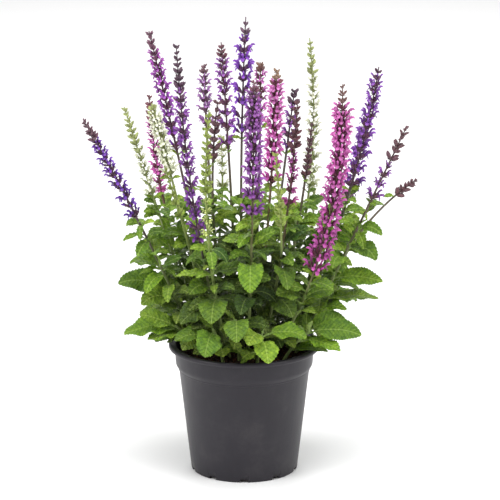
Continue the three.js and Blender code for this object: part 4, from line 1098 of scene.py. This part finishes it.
class FlowerSpike(Body):
    """The spike of a stem. at is a share of the way from its foot to its tip."""

    def __init__(self, name, stem):
        super().__init__()
        self.name, self.curve, self.end = name, stem.curve, stem.end
        self.reach, self.share = stem.spike.reach, stem.spike.share
        self.slot, self.petal_base, self.petal_top, self.calyx, self.bud, self.stalk = look_of(stem)
        self.draw = np.random.default_rng([FLOWER_SEED, int(name)])

        self.grow_stalk()
        length = math.dist(stem.spike.base, stem.spike.tip)
        pitches = WHORL_PITCHES.get(name, WHORL_PITCH)
        at, turn = SPIKE_FOOT, self.draw.uniform(0, math.pi / 2)
        while at < 1 - TIP_ROOM / length:
            self.grow_whorl(at, turn)
            turn += math.pi / 2 + self.draw.uniform(*TURN_SPREAD)
            at += mix(*pitches, at**PITCH_POWER) / length
        self.grow_tuft(turn)

    def grow_stalk(self):
        shares = np.linspace(0, 1, STALK_RINGS)
        centres = self.curve.at(mix(self.end, 1, shares))
        ahead = unit(np.gradient(centres, axis=0))
        radii = mix(*STALK_RADII, shares)
        points, faces = ringed(centres, ahead, eastward(ahead), radii, radii, STALK_SIDES, STALK_RIDGE)
        up = np.concatenate([np.repeat(shares, STALK_SIDES), [0, 1]])[:, None]
        paint = mix(self.stalk, mix(self.stalk, self.bud, STALK_TIP), up)
        self.add(points, faces, STALK_SKIN, paint=paint, place=points)

    def put(self, shape, root, out, up, size, petal, calyx):
        """Puts a shape with its root there. petal and calyx are colours at the root and at the edge."""
        basis = np.stack([out, np.cross(up, out), up])
        points = root + shape["points"] * size @ basis
        is_petal = shape["part"] == PETAL
        low, high = np.where(is_petal, petal[0], calyx[0]), np.where(is_petal, petal[1], calyx[1])
        paint = np.minimum(mix(low, high, shape["shade"]), PALEST)
        self.add(points, shape["faces"], shape["slots"], paint=paint, place=shape["place"] + root)

    def grow_whorl(self, at, turn):
        """Two cymes, one to each side, with a bract under each."""
        t = mix(self.end, 1, at)
        centre, up = self.curve.at(t), self.curve.ahead(t)
        east = eastward(up)
        in_bud = max(0, (at - self.share) / (1 - self.share))
        if in_bud > SPARSE_FROM or self.name in THIN_SPIKES:
            fan = CYME_FAN[2]
        else:
            fan = CYME_FAN[5 if self.name in FULL_SPIKES and at < self.share else 3]
        size = mix(*BRACT_SIZES, in_bud) * (BRACT_IN_FLOWER if self.share else BRACT_IN_BUD)
        skin = mix(self.calyx, self.bud, 0.5)
        for half_turn in (0, math.pi):
            cyme_out, _ = turned(east, up, turn + half_turn, 0)
            for angle in fan:
                yaw = math.radians(angle + self.draw.uniform(*YAW_SPREAD))
                out, tall = turned(cyme_out, up, yaw, math.radians(self.draw.uniform(*PITCH_SPREAD)))
                self.grow_flower(at, in_bud, centre, up, out, tall)
            shades = [skin * shade for shade in BRACT_SHADES]
            self.put(SHAPES["bract"], centre, cyme_out, up, size, shades, shades)

    def kind_at(self, at, chance):
        """Open and spent flowers low down, young ones where the flowers end, and buds above."""
        closing = smooth_step(at, self.share + OPENING[0], self.share + OPENING[1])
        if self.share and chance > closing + EARLY_BUDS:
            below_buds = (self.share - at) / max(self.share, LEAST_SHARE)
            return "open" if chance > SPENT or below_buds < SPENT_BELOW else "spent"
        if self.share and at < self.share + YOUNG_ABOVE and chance > BUDS_AMONG_YOUNG * closing:
            return "young"
        return "bud"

    def grow_flower(self, at, in_bud, centre, up, out, tall):
        light = self.draw.uniform(*LIGHT_SPREAD)
        kind = self.kind_at(at, self.draw.random())
        flowered = min(1, at / max(self.share, LEAST_SHARE))
        if kind == "bud":
            size = min(self.reach, BUD_REACH_MOST) / BUD_REACH_DRAWN * mix(*BUD_SIZES, in_bud)
            size *= WIDER_BUDS.get(self.name, 1)
            skin = mix(self.calyx, self.bud, min(1, in_bud * BUD_COLOUR_BY))
        else:
            reach = FLOWER_OVER * WIDER_FLOWERS.get(self.name, 1) * self.reach * mix(*SPIKE_TAPER, flowered)
            size = min(reach / FLOWER_REACH, FLOWER_LARGEST)
            skin = self.calyx
        size *= self.draw.uniform(*SIZE_SPREAD)
        stand_off = 0 if kind == "bud" else reach - size * FLOWER_REACH
        root = centre + up * self.draw.uniform(*LEVEL_SPREAD) + out * stand_off
        petal = mix(self.petal_base, self.petal_top, flowered)
        # petals darken towards the throat as painted shade and lighten at the edge as a painted highlight,
        # over their own colour
        petals = (petal**THROAT_SHADE_POWER * light, petal * light * PETAL_EDGE_HIGHLIGHT)
        calyces = [skin * light * shade for shade in CALYX_SHADES]
        self.put(SHAPES[kind], root, out, tall, size, petals, calyces)

    def grow_tuft(self, turn):
        """The last buds, drawn together over the tip."""
        tip, up = self.curve.at(1.0), self.curve.ahead(0.99)
        shades = [self.bud * shade for shade in TUFT_SHADES]
        for k in range(TUFT_BUDS):
            out, tall = turned(eastward(up), up, turn + k * 2 * math.pi / TUFT_BUDS, TUFT_RISE)
            self.put(SHAPES["bud"], tip - up * TUFT_BELOW, out, tall, TUFT_SIZE, shades, shades)


# ---------------------------------------------------------------- leafy stems

GREEN_DEEP, GREEN_MID, GREEN_FRESH = linear(70, 106, 20), linear(124, 158, 26), linear(166, 188, 58)
STEM_GREEN, STEM_PALE = linear(132, 156, 82), linear(160, 186, 96)
FRESHNESS, FRESH_IF_SMALL, FRESH_IF_LOW, FRESH_SPREAD = 0.32, 0.22, 0.2, 0.18
SMALL_LENGTHS, LOW_HEIGHTS = (18, 62), (185, 270)
LEAF_LIGHT = (0.92, 1.24)
PAINTED_CLUMP_SHADE, CLUMP_SHADE_DEPTHS = 0.34, (0.1, 0.55)  # painted shade on leaves deep in the clump: the darkest share of their colour, and from how deep in the clump to how deep it darkens

BLADE_COLUMNS = np.array([-1, -0.74, -0.44, -0.15, 0, 0.15, 0.44, 0.74, 1])
SMALL_COLUMNS = np.array([-1, -0.6, -0.2, 0.2, 0.6, 1])
SMALL_BLADE, DEEP_LEAF = 34, 0.45  # a shorter leaf, and one deeper in the clump, has fewer columns and teeth
TOOTH_PITCH, SMALL_TOOTH_PITCH, FEWEST_TEETH = 3.5, 4.5, 4
TOOTH_DEPTH, TOOTH_SHARE = 1.25, 0.28  # in millimetres, and at most this share of the half width
BLUNT_TIP = 0.05  # power that rounds the outline near the tip
STALK_ROWS = 5
BLADE_FROM = (0.8, 0.1)  # where the stalk widens: a share of its length, and a share of the leaf past its end
FOLD_EASE = 1.2  # softens the fold at the rib
QUILT, QUILT_POWER, QUILT_FROM = 0.7, 0.7, (0.6, 3)
RIB_GROOVE, GROOVE_WIDTH, GROOVE_FADE = 0.5, 0.9, 0.6
RIB_BELOW, RIB_WIDTH, RIB_FADE = 0.9, 1.0, 0.75
BLADE_THICKNESS, STALK_THICKNESS, EDGE_THINNING = 0.42, 1.5, 0.3
WAVES = (0.08, 0.24)  # how far a blade waves, as a share of its half width
WAVE_LENGTHS, SWAY_LENGTH = (17, 27), 38
SWAY, CURL = 0.35, -0.07
EDGE_PALER, STALK_PALER = 0.12, 0.7
LEAF_SEED = 77


def leaf_colour(leaf, draw):
    """Fresh green on small and low leaves, deeper on the old ones, and darkened with painted shade on those
    deep in the clump rather than the outer ones.
    """
    small = 1 - smooth_step(leaf.length, *SMALL_LENGTHS)
    low = 1 - smooth_step(leaf.start[2], *LOW_HEIGHTS)
    fresh = FRESHNESS + FRESH_IF_SMALL * small + FRESH_IF_LOW * low + draw.normal(0, FRESH_SPREAD)
    fresh = np.clip(fresh, 0, 1)
    if fresh < 0.5:
        colour = mix(GREEN_DEEP, GREEN_MID, fresh * 2)
    else:
        colour = mix(GREEN_MID, GREEN_FRESH, fresh * 2 - 1)
    # painted shade: leaves deep in the clump are darkened
    return colour * draw.uniform(*LEAF_LIGHT) * mix(1, PAINTED_CLUMP_SHADE, smooth_step(leaf.inside, *CLUMP_SHADE_DEPTHS))


def toothed_rows(leaf, pitch):
    """Rows at the tip and foot of each tooth: their shares of the leaf and the blade, and half widths."""
    blade_share = 1 - leaf.stalk
    teeth = max(FEWEST_TEETH, round(leaf.length * blade_share / pitch))
    q = np.concatenate([[0.0, 0.2], (np.arange(teeth * 2) / 2)[1:]]) / teeth
    u = np.concatenate([leaf.stalk * np.arange(STALK_ROWS) / STALK_ROWS, leaf.stalk + blade_share * q, [1.0]])
    q = np.clip((u - leaf.stalk) / blade_share, 0, 1)
    half = leaf.half_width(u)
    half[:-1] *= (1 - q[:-1]) ** -BLUNT_TIP
    notch = (1 - np.abs(np.sin(np.pi * q * teeth))) * (u > leaf.stalk)
    return u, q, half - np.minimum(TOOTH_DEPTH, half * TOOTH_SHARE) * notch


def grow_blade(body, leaf, colour, wave, draw):
    """A leaf with a toothed and waved edge, quilted between its veins, on the frame leaf's own surface."""
    small = leaf.length < SMALL_BLADE or leaf.inside > DEEP_LEAF
    v = SMALL_COLUMNS if small else BLADE_COLUMNS
    u, q, half = toothed_rows(leaf, SMALL_TOOTH_PITCH if small else TOOTH_PITCH)
    centre, side, normal = leaf.axes(u)
    side = np.broadcast_to(side, centre.shape)
    reach, toward_tip = half[:-1, None], q[:-1, None]
    out = np.abs(reach * v)
    along = (u * leaf.length)[:-1, None] * np.ones_like(out)
    blade = smooth_step(u[:-1], leaf.stalk * BLADE_FROM[0], leaf.stalk + BLADE_FROM[1])[:, None]

    fold = LEAF_FOLD * (np.sqrt(out**2 + FOLD_EASE) - math.sqrt(FOLD_EASE))
    quilt = np.abs(np.sin(np.pi * (along - VEIN_LEAN * out) / VEIN_PITCH)) ** QUILT_POWER
    quilt = QUILT * blade * (quilt - 0.5) * smooth_step(out, *QUILT_FROM)
    groove = -RIB_GROOVE * bell(out, GROOVE_WIDTH) * (1 - GROOVE_FADE * toward_tip)
    phases = draw.uniform(0, 2 * math.pi, 3)
    lengths = draw.uniform(*WAVE_LENGTHS, 2)
    left, right = (np.sin(2 * np.pi * along / lengths[k] + phases[k]) for k in range(2))
    swing = wave * reach * v**2 * np.where(v < 0, left, right) * blade
    sway = SWAY * wave * leaf.width * 0.5 * np.sin(2 * np.pi * along / SWAY_LENGTH + phases[2]) * blade
    curl = CURL * reach * v**4 * blade
    lift = fold + quilt + groove + swing + sway + curl
    deep = mix(STALK_THICKNESS * np.sqrt(1 - v**2), BLADE_THICKNESS * (1 - EDGE_THINNING * v**2), blade)
    deep = deep + RIB_BELOW * bell(out, RIB_WIDTH) * (1 - RIB_FADE * toward_tip) * blade
    points = blade_points(centre, side, normal, half, v, lift, deep)

    upper = np.ones_like(out)
    across, edge, skin = reach * v, v**2 * upper, blade * upper
    along = both_faces(along, along, leaf.length)
    place = np.stack([both_faces(across, across, 0), along, both_faces(upper, -upper, 0)], 1)
    paint = colour * (1 + EDGE_PALER * both_faces(edge, edge, 1)[:, None])
    paint = mix(paint, STEM_PALE, (1 - both_faces(skin, skin, 1)[:, None]) * STALK_PALER)
    body.add(points, blade_faces(len(u) - 1, len(v)), LEAF_SKIN, paint=paint, place=place)


STEM_SIDES = 12
STEM_RIDGE = 0.1
STEM_SLIM = 0.82  # the square stem as a share of the frame's
STEM_ROW, FEWEST_ROWS, NEAREST_ROWS = 7, 10, 0.002  # in millimetres, in all, and as a share of the curve
BRANCH_TIP, SHOOT_RADII = 1.15, (2.0, 0.9)
NODE_SWELL, NODE_LENGTH = 0.35, 3
GREEN_TO, SPIKE_COLOUR_FROM, SPIKE_COLOUR_BELOW = 230, 290, 10  # heights, and a distance under the spike


STALK_IN_GREEN, GREEN_IN_STALK = 0.15, 0.1


def stem_colours(stem):
    """The skin low down and under the spike."""
    if not stem.spike:
        return STEM_GREEN, STEM_PALE
    stalk = look_of(stem)[-1]
    return mix(STEM_GREEN, stalk, STALK_IN_GREEN), mix(stalk, STEM_GREEN, GREEN_IN_STALK)


def grow_stem(body, stem, leaves):
    """The stem up to its spike, with a swelling at each pair of leaves, and its foot down in its hole."""
    rows = max(FEWEST_ROWS, math.ceil(stem.span * stem.end / STEM_ROW))
    nodes = np.array([leaf.t for leaf in leaves if leaf.owner == stem.name])
    t = np.sort(np.concatenate([stem.end * np.arange(rows + 1) / rows, nodes]))
    t = t[np.concatenate([[True], np.diff(t) > NEAREST_ROWS])]
    centres = stem.curve.at(t)
    if not stem.spike:
        radii = mix(*SHOOT_RADII, t)
    elif stem.fork is not None:
        radii = mix(STEM_TOP_RADIUS, BRANCH_TIP, t / stem.end)
    else:
        radii = STEM_SLIM * mix(STEM_FOOT_RADIUS, STEM_TOP_RADIUS, t / stem.end)
    if len(nodes):
        apart = np.abs(t[:, None] - nodes[None]).min(1) * stem.span
        radii = radii * (1 + NODE_SWELL * bell(apart, NODE_LENGTH))
    if stem.fork is None:
        foot = stem.curve.foot - stem.curve.ahead(NEARBY) * (HOLE_DEPTH - GAP)
        centres, radii = np.concatenate([[foot], centres]), np.concatenate([radii[:1], radii])
    ahead = unit(np.gradient(centres, axis=0))
    points, faces = ringed(centres, ahead, eastward(ahead), radii, radii, STEM_SIDES, STEM_RIDGE)
    turned_by = max(SPIKE_COLOUR_FROM, stem.curve.at(stem.end)[2] - SPIKE_COLOUR_BELOW)
    paint = mix(*stem_colours(stem), smooth_step(points[:, 2:], GREEN_TO, turned_by))
    body.add(points, faces, STEM_SKIN, paint=paint, place=points)


# Leaves of side shoots, beside the frame's own. lengths, rise and droop run between two ends, and ease is how
# near to others they may come.
Habit = namedtuple("Habit", "lengths rise droop stalk ease")
AXIL = Habit(lengths=(14, 32), rise=(42, 76), droop=(20, 60), stalk=3.5, ease=0.42)
FILL = Habit(lengths=(50, 20), rise=(5, 60), droop=(40, 110), stalk=5, ease=0.36)
COLLAR = Habit(lengths=(12, 17), rise=(20, 50), droop=(20, 60), stalk=2.5, ease=0.3)
HIGH = Habit(lengths=(34, 25), rise=(10, 60), droop=(40, 100), stalk=4, ease=0.32)
EXTRA_WIDTHS, EXTRA_TRIES = (0.38, 0.5), 10
AXIL_TURNS, AXIL_TURN_SPREAD, AXIL_ABOVE = (-62, 62), (0.5, 1.3), 2
FILL_FIRST, FILL_LAST, FILL_STEP, FILL_JITTER = 166, 352, 11, 5
FILL_TURN, FILL_SPREAD = 137, (0.8, 1.15)  # each pair is turned by so many degrees from the last
COLLAR_AT = 0.985  # share of the way to the spike
HIGH_FIRST, HIGH_LAST, HIGH_STEP, HIGH_JITTER = 284, 350, 17, 8
UNDER_SPIKES = 12


def grow_extras(stems, leaves, obstacles):
    """Leaves of side shoots: in the axils, up the stems, in a collar under each spike, and more high up."""
    draw = random_stream(LEAF_SEED)
    extras = []

    def grow(stem, z, heading, habit, length=None):
        rise, droop = mix(*habit.rise, draw()), mix(*habit.droop, draw())
        if length is None:
            length = mix(*habit.lengths, draw())
        width = length * mix(*EXTRA_WIDTHS, draw())
        settle_leaf(stem, z, heading, rise, droop, length, width, habit.stalk,
                    obstacles, extras, draw, habit.ease, EXTRA_TRIES)

    for leaf in leaves:
        for turn in AXIL_TURNS:
            heading = math.degrees(leaf.heading) + turn * mix(*AXIL_TURN_SPREAD, draw())
            length = mix(*AXIL.lengths, draw())
            grow(stems[leaf.owner], leaf.start[2] + AXIL_ABOVE, heading, AXIL, length)

    from_crown = [stem for stem in stems.values() if stem.fork is None]
    for stem in from_crown:
        top = min(FILL_LAST, stem.curve.at(stem.end)[2] - UNDER_SPIKES)
        start = draw() * 360
        for k, z in enumerate(np.arange(FILL_FIRST, top, FILL_STEP)):
            height = (z - FILL_FIRST) / (FILL_LAST - FILL_FIRST)
            for turn in OPPOSITE:
                length = mix(*FILL.lengths, height) * mix(*FILL_SPREAD, draw())
                grow(stem, z + FILL_JITTER * draw(), start + FILL_TURN * k + turn, FILL, length)

    for stem in stems.values():
        if stem.spike:
            start = draw() * 180
            for turn in OPPOSITE:
                grow(stem, stem.curve.at(stem.end * COLLAR_AT)[2], start + turn, COLLAR)

    for stem in from_crown:
        if stem.spike:
            top = min(HIGH_LAST, stem.curve.at(stem.end)[2] - UNDER_SPIKES)
            for z in np.arange(HIGH_FIRST, top, HIGH_STEP):
                start = draw() * 180
                for turn in OPPOSITE:
                    length = mix(*HIGH.lengths, draw())
                    grow(stem, z + HIGH_JITTER * draw(), start + turn, HIGH, length)
    return extras


# ---------------------------------------------------------------- pot

POT_SEGMENTS = 144
POT_OUTLINE = [  # radius, height, and how far the corner is rounded: up the outside and down the inside
    (0, 0, 0), (53, 0, 1), (55, 1.4, 1), (62, 1.4, 1), (63.6, 0, 0.8), (67, 0, 1.6),
    (82.1, 130.3, 0.8), (82.9, 130.6, 0.3), (83.1, 131.6, 0.4), (83.1, 132.4, 1.2),
    (86.3, 137.4, 2.4), (87, 150, 2), (87.4, 158.5, 1), (94.4, 158.5, 0.8),
    (95.2, 160.2, 1), (94.9, 162.6, 1.2), (93.6, 164.1, 1), (91.2, 164.1, 1),
    (90, 162.8, 0.6), (88.4, 162.8, 0.6), (86, 162.6, 0.8), (85, 138.8, 1.5),
    (81, 132.6, 1.2), (65.6, 2.2, 1.5), (0, 2.2, 0),
]
CORNER_STEPS = 4
CORNER_MOST = 0.45  # share of a straight run that one corner may take
WALL_STEP = 12
SHARP, POT_SHARP = 50, 30  # degrees from which an edge stays sharp


def rounded_outline(corners):
    """The outline with an arc at each corner and points along its straight runs."""
    points = [vec(*corners[0][:2])]
    for before, here, after in zip(corners, corners[1:], corners[2:]):
        a, b, c = vec(*before[:2]), vec(*here[:2]), vec(*after[:2])
        cut = min(here[2], np.linalg.norm(a - b) * CORNER_MOST, np.linalg.norm(c - b) * CORNER_MOST)
        first, last = b + unit(a - b) * cut, b + unit(c - b) * cut
        for share in np.arange(CORNER_STEPS + 1) / CORNER_STEPS:
            points.append(mix(mix(first, b, share), mix(b, last, share), share))
    points.append(vec(*corners[-1][:2]))
    fine = [points[0]]
    for a, b in zip(points, points[1:]):
        steps = max(1, math.ceil(np.linalg.norm(b - a) / WALL_STEP))
        fine += [mix(a, b, k / steps) for k in range(1, steps + 1)]
    return np.array(fine)


def rings_round(radii, segments):
    """x and y of the points of rings round the axis."""
    angle = angles_round(segments)
    return np.outer(radii, np.cos(angle)), np.outer(radii, np.sin(angle))


def join_rings(body, x, y, z, ends, paint, flip=False):
    """Adds a closed body of rings, and a point on the axis at the height of each of its two ends."""
    points = np.stack([x, y, z], -1).reshape(-1, 3)
    points = np.concatenate([points, [[0, 0, end] for end in ends]])
    body.add(points, tube_faces(*x.shape, flip), 0, paint=paint, place=points)


def turn_round_z(angle):
    """The matrix that turns rows of points round the vertical."""
    c, s = math.cos(angle), math.sin(angle)
    return np.array([[c, s, 0], [-s, c, 0], [0, 0, 1]])


def cut_slots(piece):
    """Cuts the drain slots through the foot of the pot, as a real cut in the mesh."""
    cutter = Body()
    box = np.array([[x, y, z] for x in (-0.5, 0.5) for y in (-0.5, 0.5) for z in (-0.5, 0.5)]) * SLOT_SIZE
    quads = np.array([[0, 1, 3, 2], [4, 6, 7, 5], [0, 4, 5, 1], [2, 3, 7, 6], [0, 2, 6, 4], [1, 5, 7, 3]])
    for k in range(SLOTS):
        slot = (box + [POT_BASE_RADIUS, 0, 0]) @ turn_round_z(math.radians(-90 + 360 / SLOTS * k))
        cutter.add(slot, quads, 0, paint=WHITE, place=0.0)
    tool = cutter.build("slot_cutter", [], POT_SHARP)
    cut = piece.modifiers.new("slots", "BOOLEAN")
    cut.operation, cut.solver, cut.object = "DIFFERENCE", "EXACT", tool
    shape = bpy.data.meshes.new_from_object(piece.evaluated_get(bpy.context.evaluated_depsgraph_get()))
    piece.modifiers.clear()
    piece.data = shape
    bpy.data.objects.remove(tool)


def make_pot():
    body = Body()
    outline = rounded_outline(POT_OUTLINE)
    x, y = rings_round(outline[1:-1, 0], POT_SEGMENTS)
    z = np.repeat(outline[1:-1, 1:], POT_SEGMENTS, 1)
    join_rings(body, x, y, z, (outline[0, 1], outline[-1, 1]), WHITE)
    pot = finish_piece(body, "nursery_pot", [pot_material()], "pot", POT_SHARP)
    cut_slots(pot)


# ---------------------------------------------------------------- compost

COMPOST_RINGS, COMPOST_SEGMENTS = 50, 160
RING_POWER = 0.8  # under 1, so that rings are closer together near the wall
COMPOST_RADIUS = 84.2
OVER_CORNER = (1.5, 1)  # how far over the two bends of the pot's wall the compost bends
ROUGH_SCALE, ROUGH_DETAIL = 0.16, (0.7, 2.1, 4)
CRUMBLY_SCALE, CRUMBLY = 0.55, 0.6
ROUGHNESS = 1.5
WALL_DIP, DIP_WIDTH = 1.6, 3
COMPOST_DARK, COMPOST_RED = linear(62, 46, 38), linear(104, 66, 44)

CRUMB_SEED = 5
CRUMBS, FIBRES = 900, 160
CRUMB_SIZES, LARGE_SIZES, SMALL_SHARE = (0.7, 2.1), (2.1, 3.4), 0.85
CRUMB_STRETCH, CRUMB_DENTS, CRUMB_TILT, CRUMB_LIGHT = (0.6, 1.3), (-0.22, 0.22), (-0.35, 0.35), (0.7, 1.4)
FIBRE_SIZES = ((3, 8), (0.3, 0.7), (0.3, 0.6))
CRUMB_INSET, CRUMB_NEAREST = 4, 0.02  # from the wall, and from the middle as a share of the area
CRUMB_PROUD = 0.25  # how far its middle is over the compost, as a share of its size
GOLDEN = (1 + math.sqrt(5)) / 2
GOLDEN_PAIRS = [(s, t * GOLDEN) for s in (-1, 1) for t in (-1, 1)]
LUMP_POINTS = unit(np.array([np.roll([0, s, t], -k) for k in range(3) for s, t in GOLDEN_PAIRS]))
FLAT = 1e-9  # a point this near to a face lies in it


def compost_height(x, y):
    """The compost's own height with its crumbs, which leaves a ring of it lower at the wall."""
    from_wall = COMPOST_RADIUS - np.hypot(x, y)
    rough = [
        noise.fractal(Vector((a, b, 0)) * ROUGH_SCALE, *ROUGH_DETAIL)
        + CRUMBLY * noise.noise(Vector((a, b, 0)) * CRUMBLY_SCALE)
        for a, b in zip(np.ravel(x), np.ravel(y))
    ]
    rough = np.array(rough).reshape(np.shape(x))
    return compost_top(x, y) + ROUGHNESS * rough - WALL_DIP * bell(from_wall, DIP_WIDTH)


def grow_compost(body):
    """The fill of the pot: a rough top, and sides that follow the pot's inside."""
    share = (np.arange(COMPOST_RINGS) + 1) / COMPOST_RINGS
    top_x, top_y = rings_round(COMPOST_RADIUS * share**RING_POWER, COMPOST_SEGMENTS)
    walls = [POT_SHOULDER[0], POT_BODY_TOP[0], POT_BASE_RADIUS]
    x, y = rings_round([radius - POT_WALL - COMPOST_CLEARANCE for radius in walls], COMPOST_SEGMENTS)
    foot = POT_FLOOR + COMPOST_CLEARANCE
    heights = vec(POT_SHOULDER[1] + OVER_CORNER[0], POT_BODY_TOP[1] + OVER_CORNER[1], foot)
    z = np.repeat(heights[:, None], COMPOST_SEGMENTS, 1)
    z = np.concatenate([compost_height(top_x, top_y), z])
    ends = (float(compost_height(0.0, 0.0)), foot)
    join_rings(body, np.concatenate([top_x, x]), np.concatenate([top_y, y]), z, ends, COMPOST_DARK, flip=True)


def hull_faces(points):
    """Faces of a convex lump, turned outward."""
    faces = []
    for i, j, k in combinations(range(len(points)), 3):
        side = (points - points[i]) @ np.cross(points[j] - points[i], points[k] - points[i])
        if (side < FLAT).all():
            faces.append([i, j, k, NO_CORNER])
        elif (side > -FLAT).all():
            faces.append([i, k, j, NO_CORNER])
    return np.array(faces)


def scatter_crumbs(body):
    """Crumbs of bark and peat, and fibres, half sunk in the top."""
    draw = np.random.default_rng(CRUMB_SEED)
    faces = hull_faces(LUMP_POINTS)
    for k in range(CRUMBS + FIBRES):
        angle = draw.uniform(0, 2 * math.pi)
        out = (COMPOST_RADIUS - CRUMB_INSET) * math.sqrt(draw.uniform(CRUMB_NEAREST, 1))
        x, y = out * math.cos(angle), out * math.sin(angle)
        size = draw.uniform(*(CRUMB_SIZES if draw.random() < SMALL_SHARE else LARGE_SIZES))
        shape = draw.uniform(*CRUMB_STRETCH, 3) * size
        if k >= CRUMBS:
            shape = vec(*(draw.uniform(*ends) for ends in FIBRE_SIZES))
        lump = LUMP_POINTS * (1 + draw.uniform(*CRUMB_DENTS, (len(LUMP_POINTS), 1))) * shape
        spin, tilt = draw.uniform(0, 2 * math.pi), draw.uniform(*CRUMB_TILT)
        c, s = math.cos(tilt), math.sin(tilt)
        lump = lump @ np.array([[c, 0, s], [0, 1, 0], [-s, 0, c]]) @ turn_round_z(spin)
        paint = mix(COMPOST_DARK, COMPOST_RED, draw.random() ** 2) * draw.uniform(*CRUMB_LIGHT)
        centre = vec(x, y, float(compost_height(x, y)) + CRUMB_PROUD * size)
        body.add(lump + centre, faces, 0, paint=paint, place=centre)


def make_compost():
    body = Body()
    grow_compost(body)
    scatter_crumbs(body)
    finish_piece(body, "potting_compost", [compost_material()], "compost")


# ---------------------------------------------------------------- the whole plant


def finish_piece(body, name, materials, node, sharp=SHARP):
    piece = body.build(name, materials, sharp)
    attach(piece, "root")
    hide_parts(node)
    return piece


PETAL_TINT, WHITE_TINT, CALYX_TINT = (206, 202, 208), (244, 244, 232), (176, 168, 172)  # of their streaks


def make_salvia():
    leaf_skin, stem_skin = leaf_material(), stem_material()
    petal_skin = flower_material("salvia_petal", PETAL_TINT, roughness=0.5, sheen=0.1, relief=0.0002)
    white_skin = flower_material("salvia_petal_white", WHITE_TINT, roughness=0.5, sheen=0.1, relief=0.0002)
    calyx_skin = flower_material("salvia_calyx", CALYX_TINT, roughness=0.55, sheen=0.25, relief=0.0003)

    stems = grow_stems()
    leaves, obstacles = grow_leaves(stems)
    extras = grow_extras(stems, leaves, obstacles)
    draw = np.random.default_rng(LEAF_SEED)
    for name, stem in stems.items():
        if stem.fork is None:
            body = Body()
            for part in stems.values():
                if part.owner == name:
                    grow_stem(body, part, leaves)
            for leaf in leaves + extras:
                if leaf.owner == name:
                    grow_blade(body, leaf, leaf_colour(leaf, draw), draw.uniform(*WAVES), draw)
            kind = "stem" if stem.spike else "shoot"
            materials = [leaf_skin, stem_skin]
            finish_piece(body, f"salvia_{kind}_{name}", materials, f"leafy_{kind}_{name}")
        if stem.spike:
            spike = FlowerSpike(name, stem)
            petals = white_skin if spike.slot in (WHITES, GREEN) else petal_skin
            materials = [petals, calyx_skin, stem_skin]
            finish_piece(spike, f"salvia_spike_{name}", materials, f"flower_spike_{name}")


# ---------------------------------------------------------------- studio

CAMERA_AT, CAMERA_TILT, CAMERA_LENS, SENSOR = (0.0072, -4.0, 1.3751), 74.74, 239.1, 36.0
FAR_CLIP = 100.0
FLOOR_HALF = 15_000  # millimetres
SKY_LIGHT = 0.42
LIT_POINT = Vector((0, 0, 0.3))
SOFTBOXES = {  # place and size in metres, and watts
    "softbox_left": ((-2.6, -1.6, 1.9), 1.6, 50),
    "softbox_right": ((2.6, -1.6, 1.9), 1.6, 34),
    "softbox_top": ((0.2, -0.6, 3.2), 2.2, 86),
    "softbox_back": ((0.0, 2.6, 2.2), 2.0, 38),
}


def make_camera(scene):
    camera = bpy.data.cameras.new("camera")
    camera.lens, camera.sensor_width, camera.clip_end = CAMERA_LENS, SENSOR, FAR_CLIP
    eye = bpy.data.objects.new("camera", camera)
    eye.location, eye.rotation_euler = CAMERA_AT, (math.radians(CAMERA_TILT), 0, 0)
    scene.collection.objects.link(eye)
    scene.camera = eye


def make_floor():
    floor = Body()
    corners = FLOOR_HALF * np.array([[-1, -1, 0], [1, -1, 0], [1, 1, 0], [-1, 1, 0]])
    floor.add(corners, np.array([[0, 1, 2, 3]]), 0, paint=WHITE, place=corners)
    floor.build("studio_floor", [floor_material()], SHARP)


def make_lights(scene):
    world = bpy.data.worlds.new("studio")
    scene.world = world
    world.use_nodes = True
    background = world.node_tree.nodes["Background"]
    background.inputs["Color"].default_value = (1, 1, 1, 1)
    background.inputs["Strength"].default_value = SKY_LIGHT
    for name, (place, size, watts) in SOFTBOXES.items():
        light = bpy.data.lights.new(name, "AREA")
        light.shape, light.size, light.energy = "SQUARE", size, watts
        lamp = bpy.data.objects.new(name, light)
        lamp.location = place
        lamp.rotation_euler = (LIT_POINT - Vector(place)).to_track_quat("-Z", "Y").to_euler()
        scene.collection.objects.link(lamp)


def make_studio():
    scene = bpy.context.scene
    make_camera(scene)
    make_floor()
    make_lights(scene)
    scene.view_settings.view_transform = "Standard"


make_studio()
make_pot()
make_compost()
make_salvia()
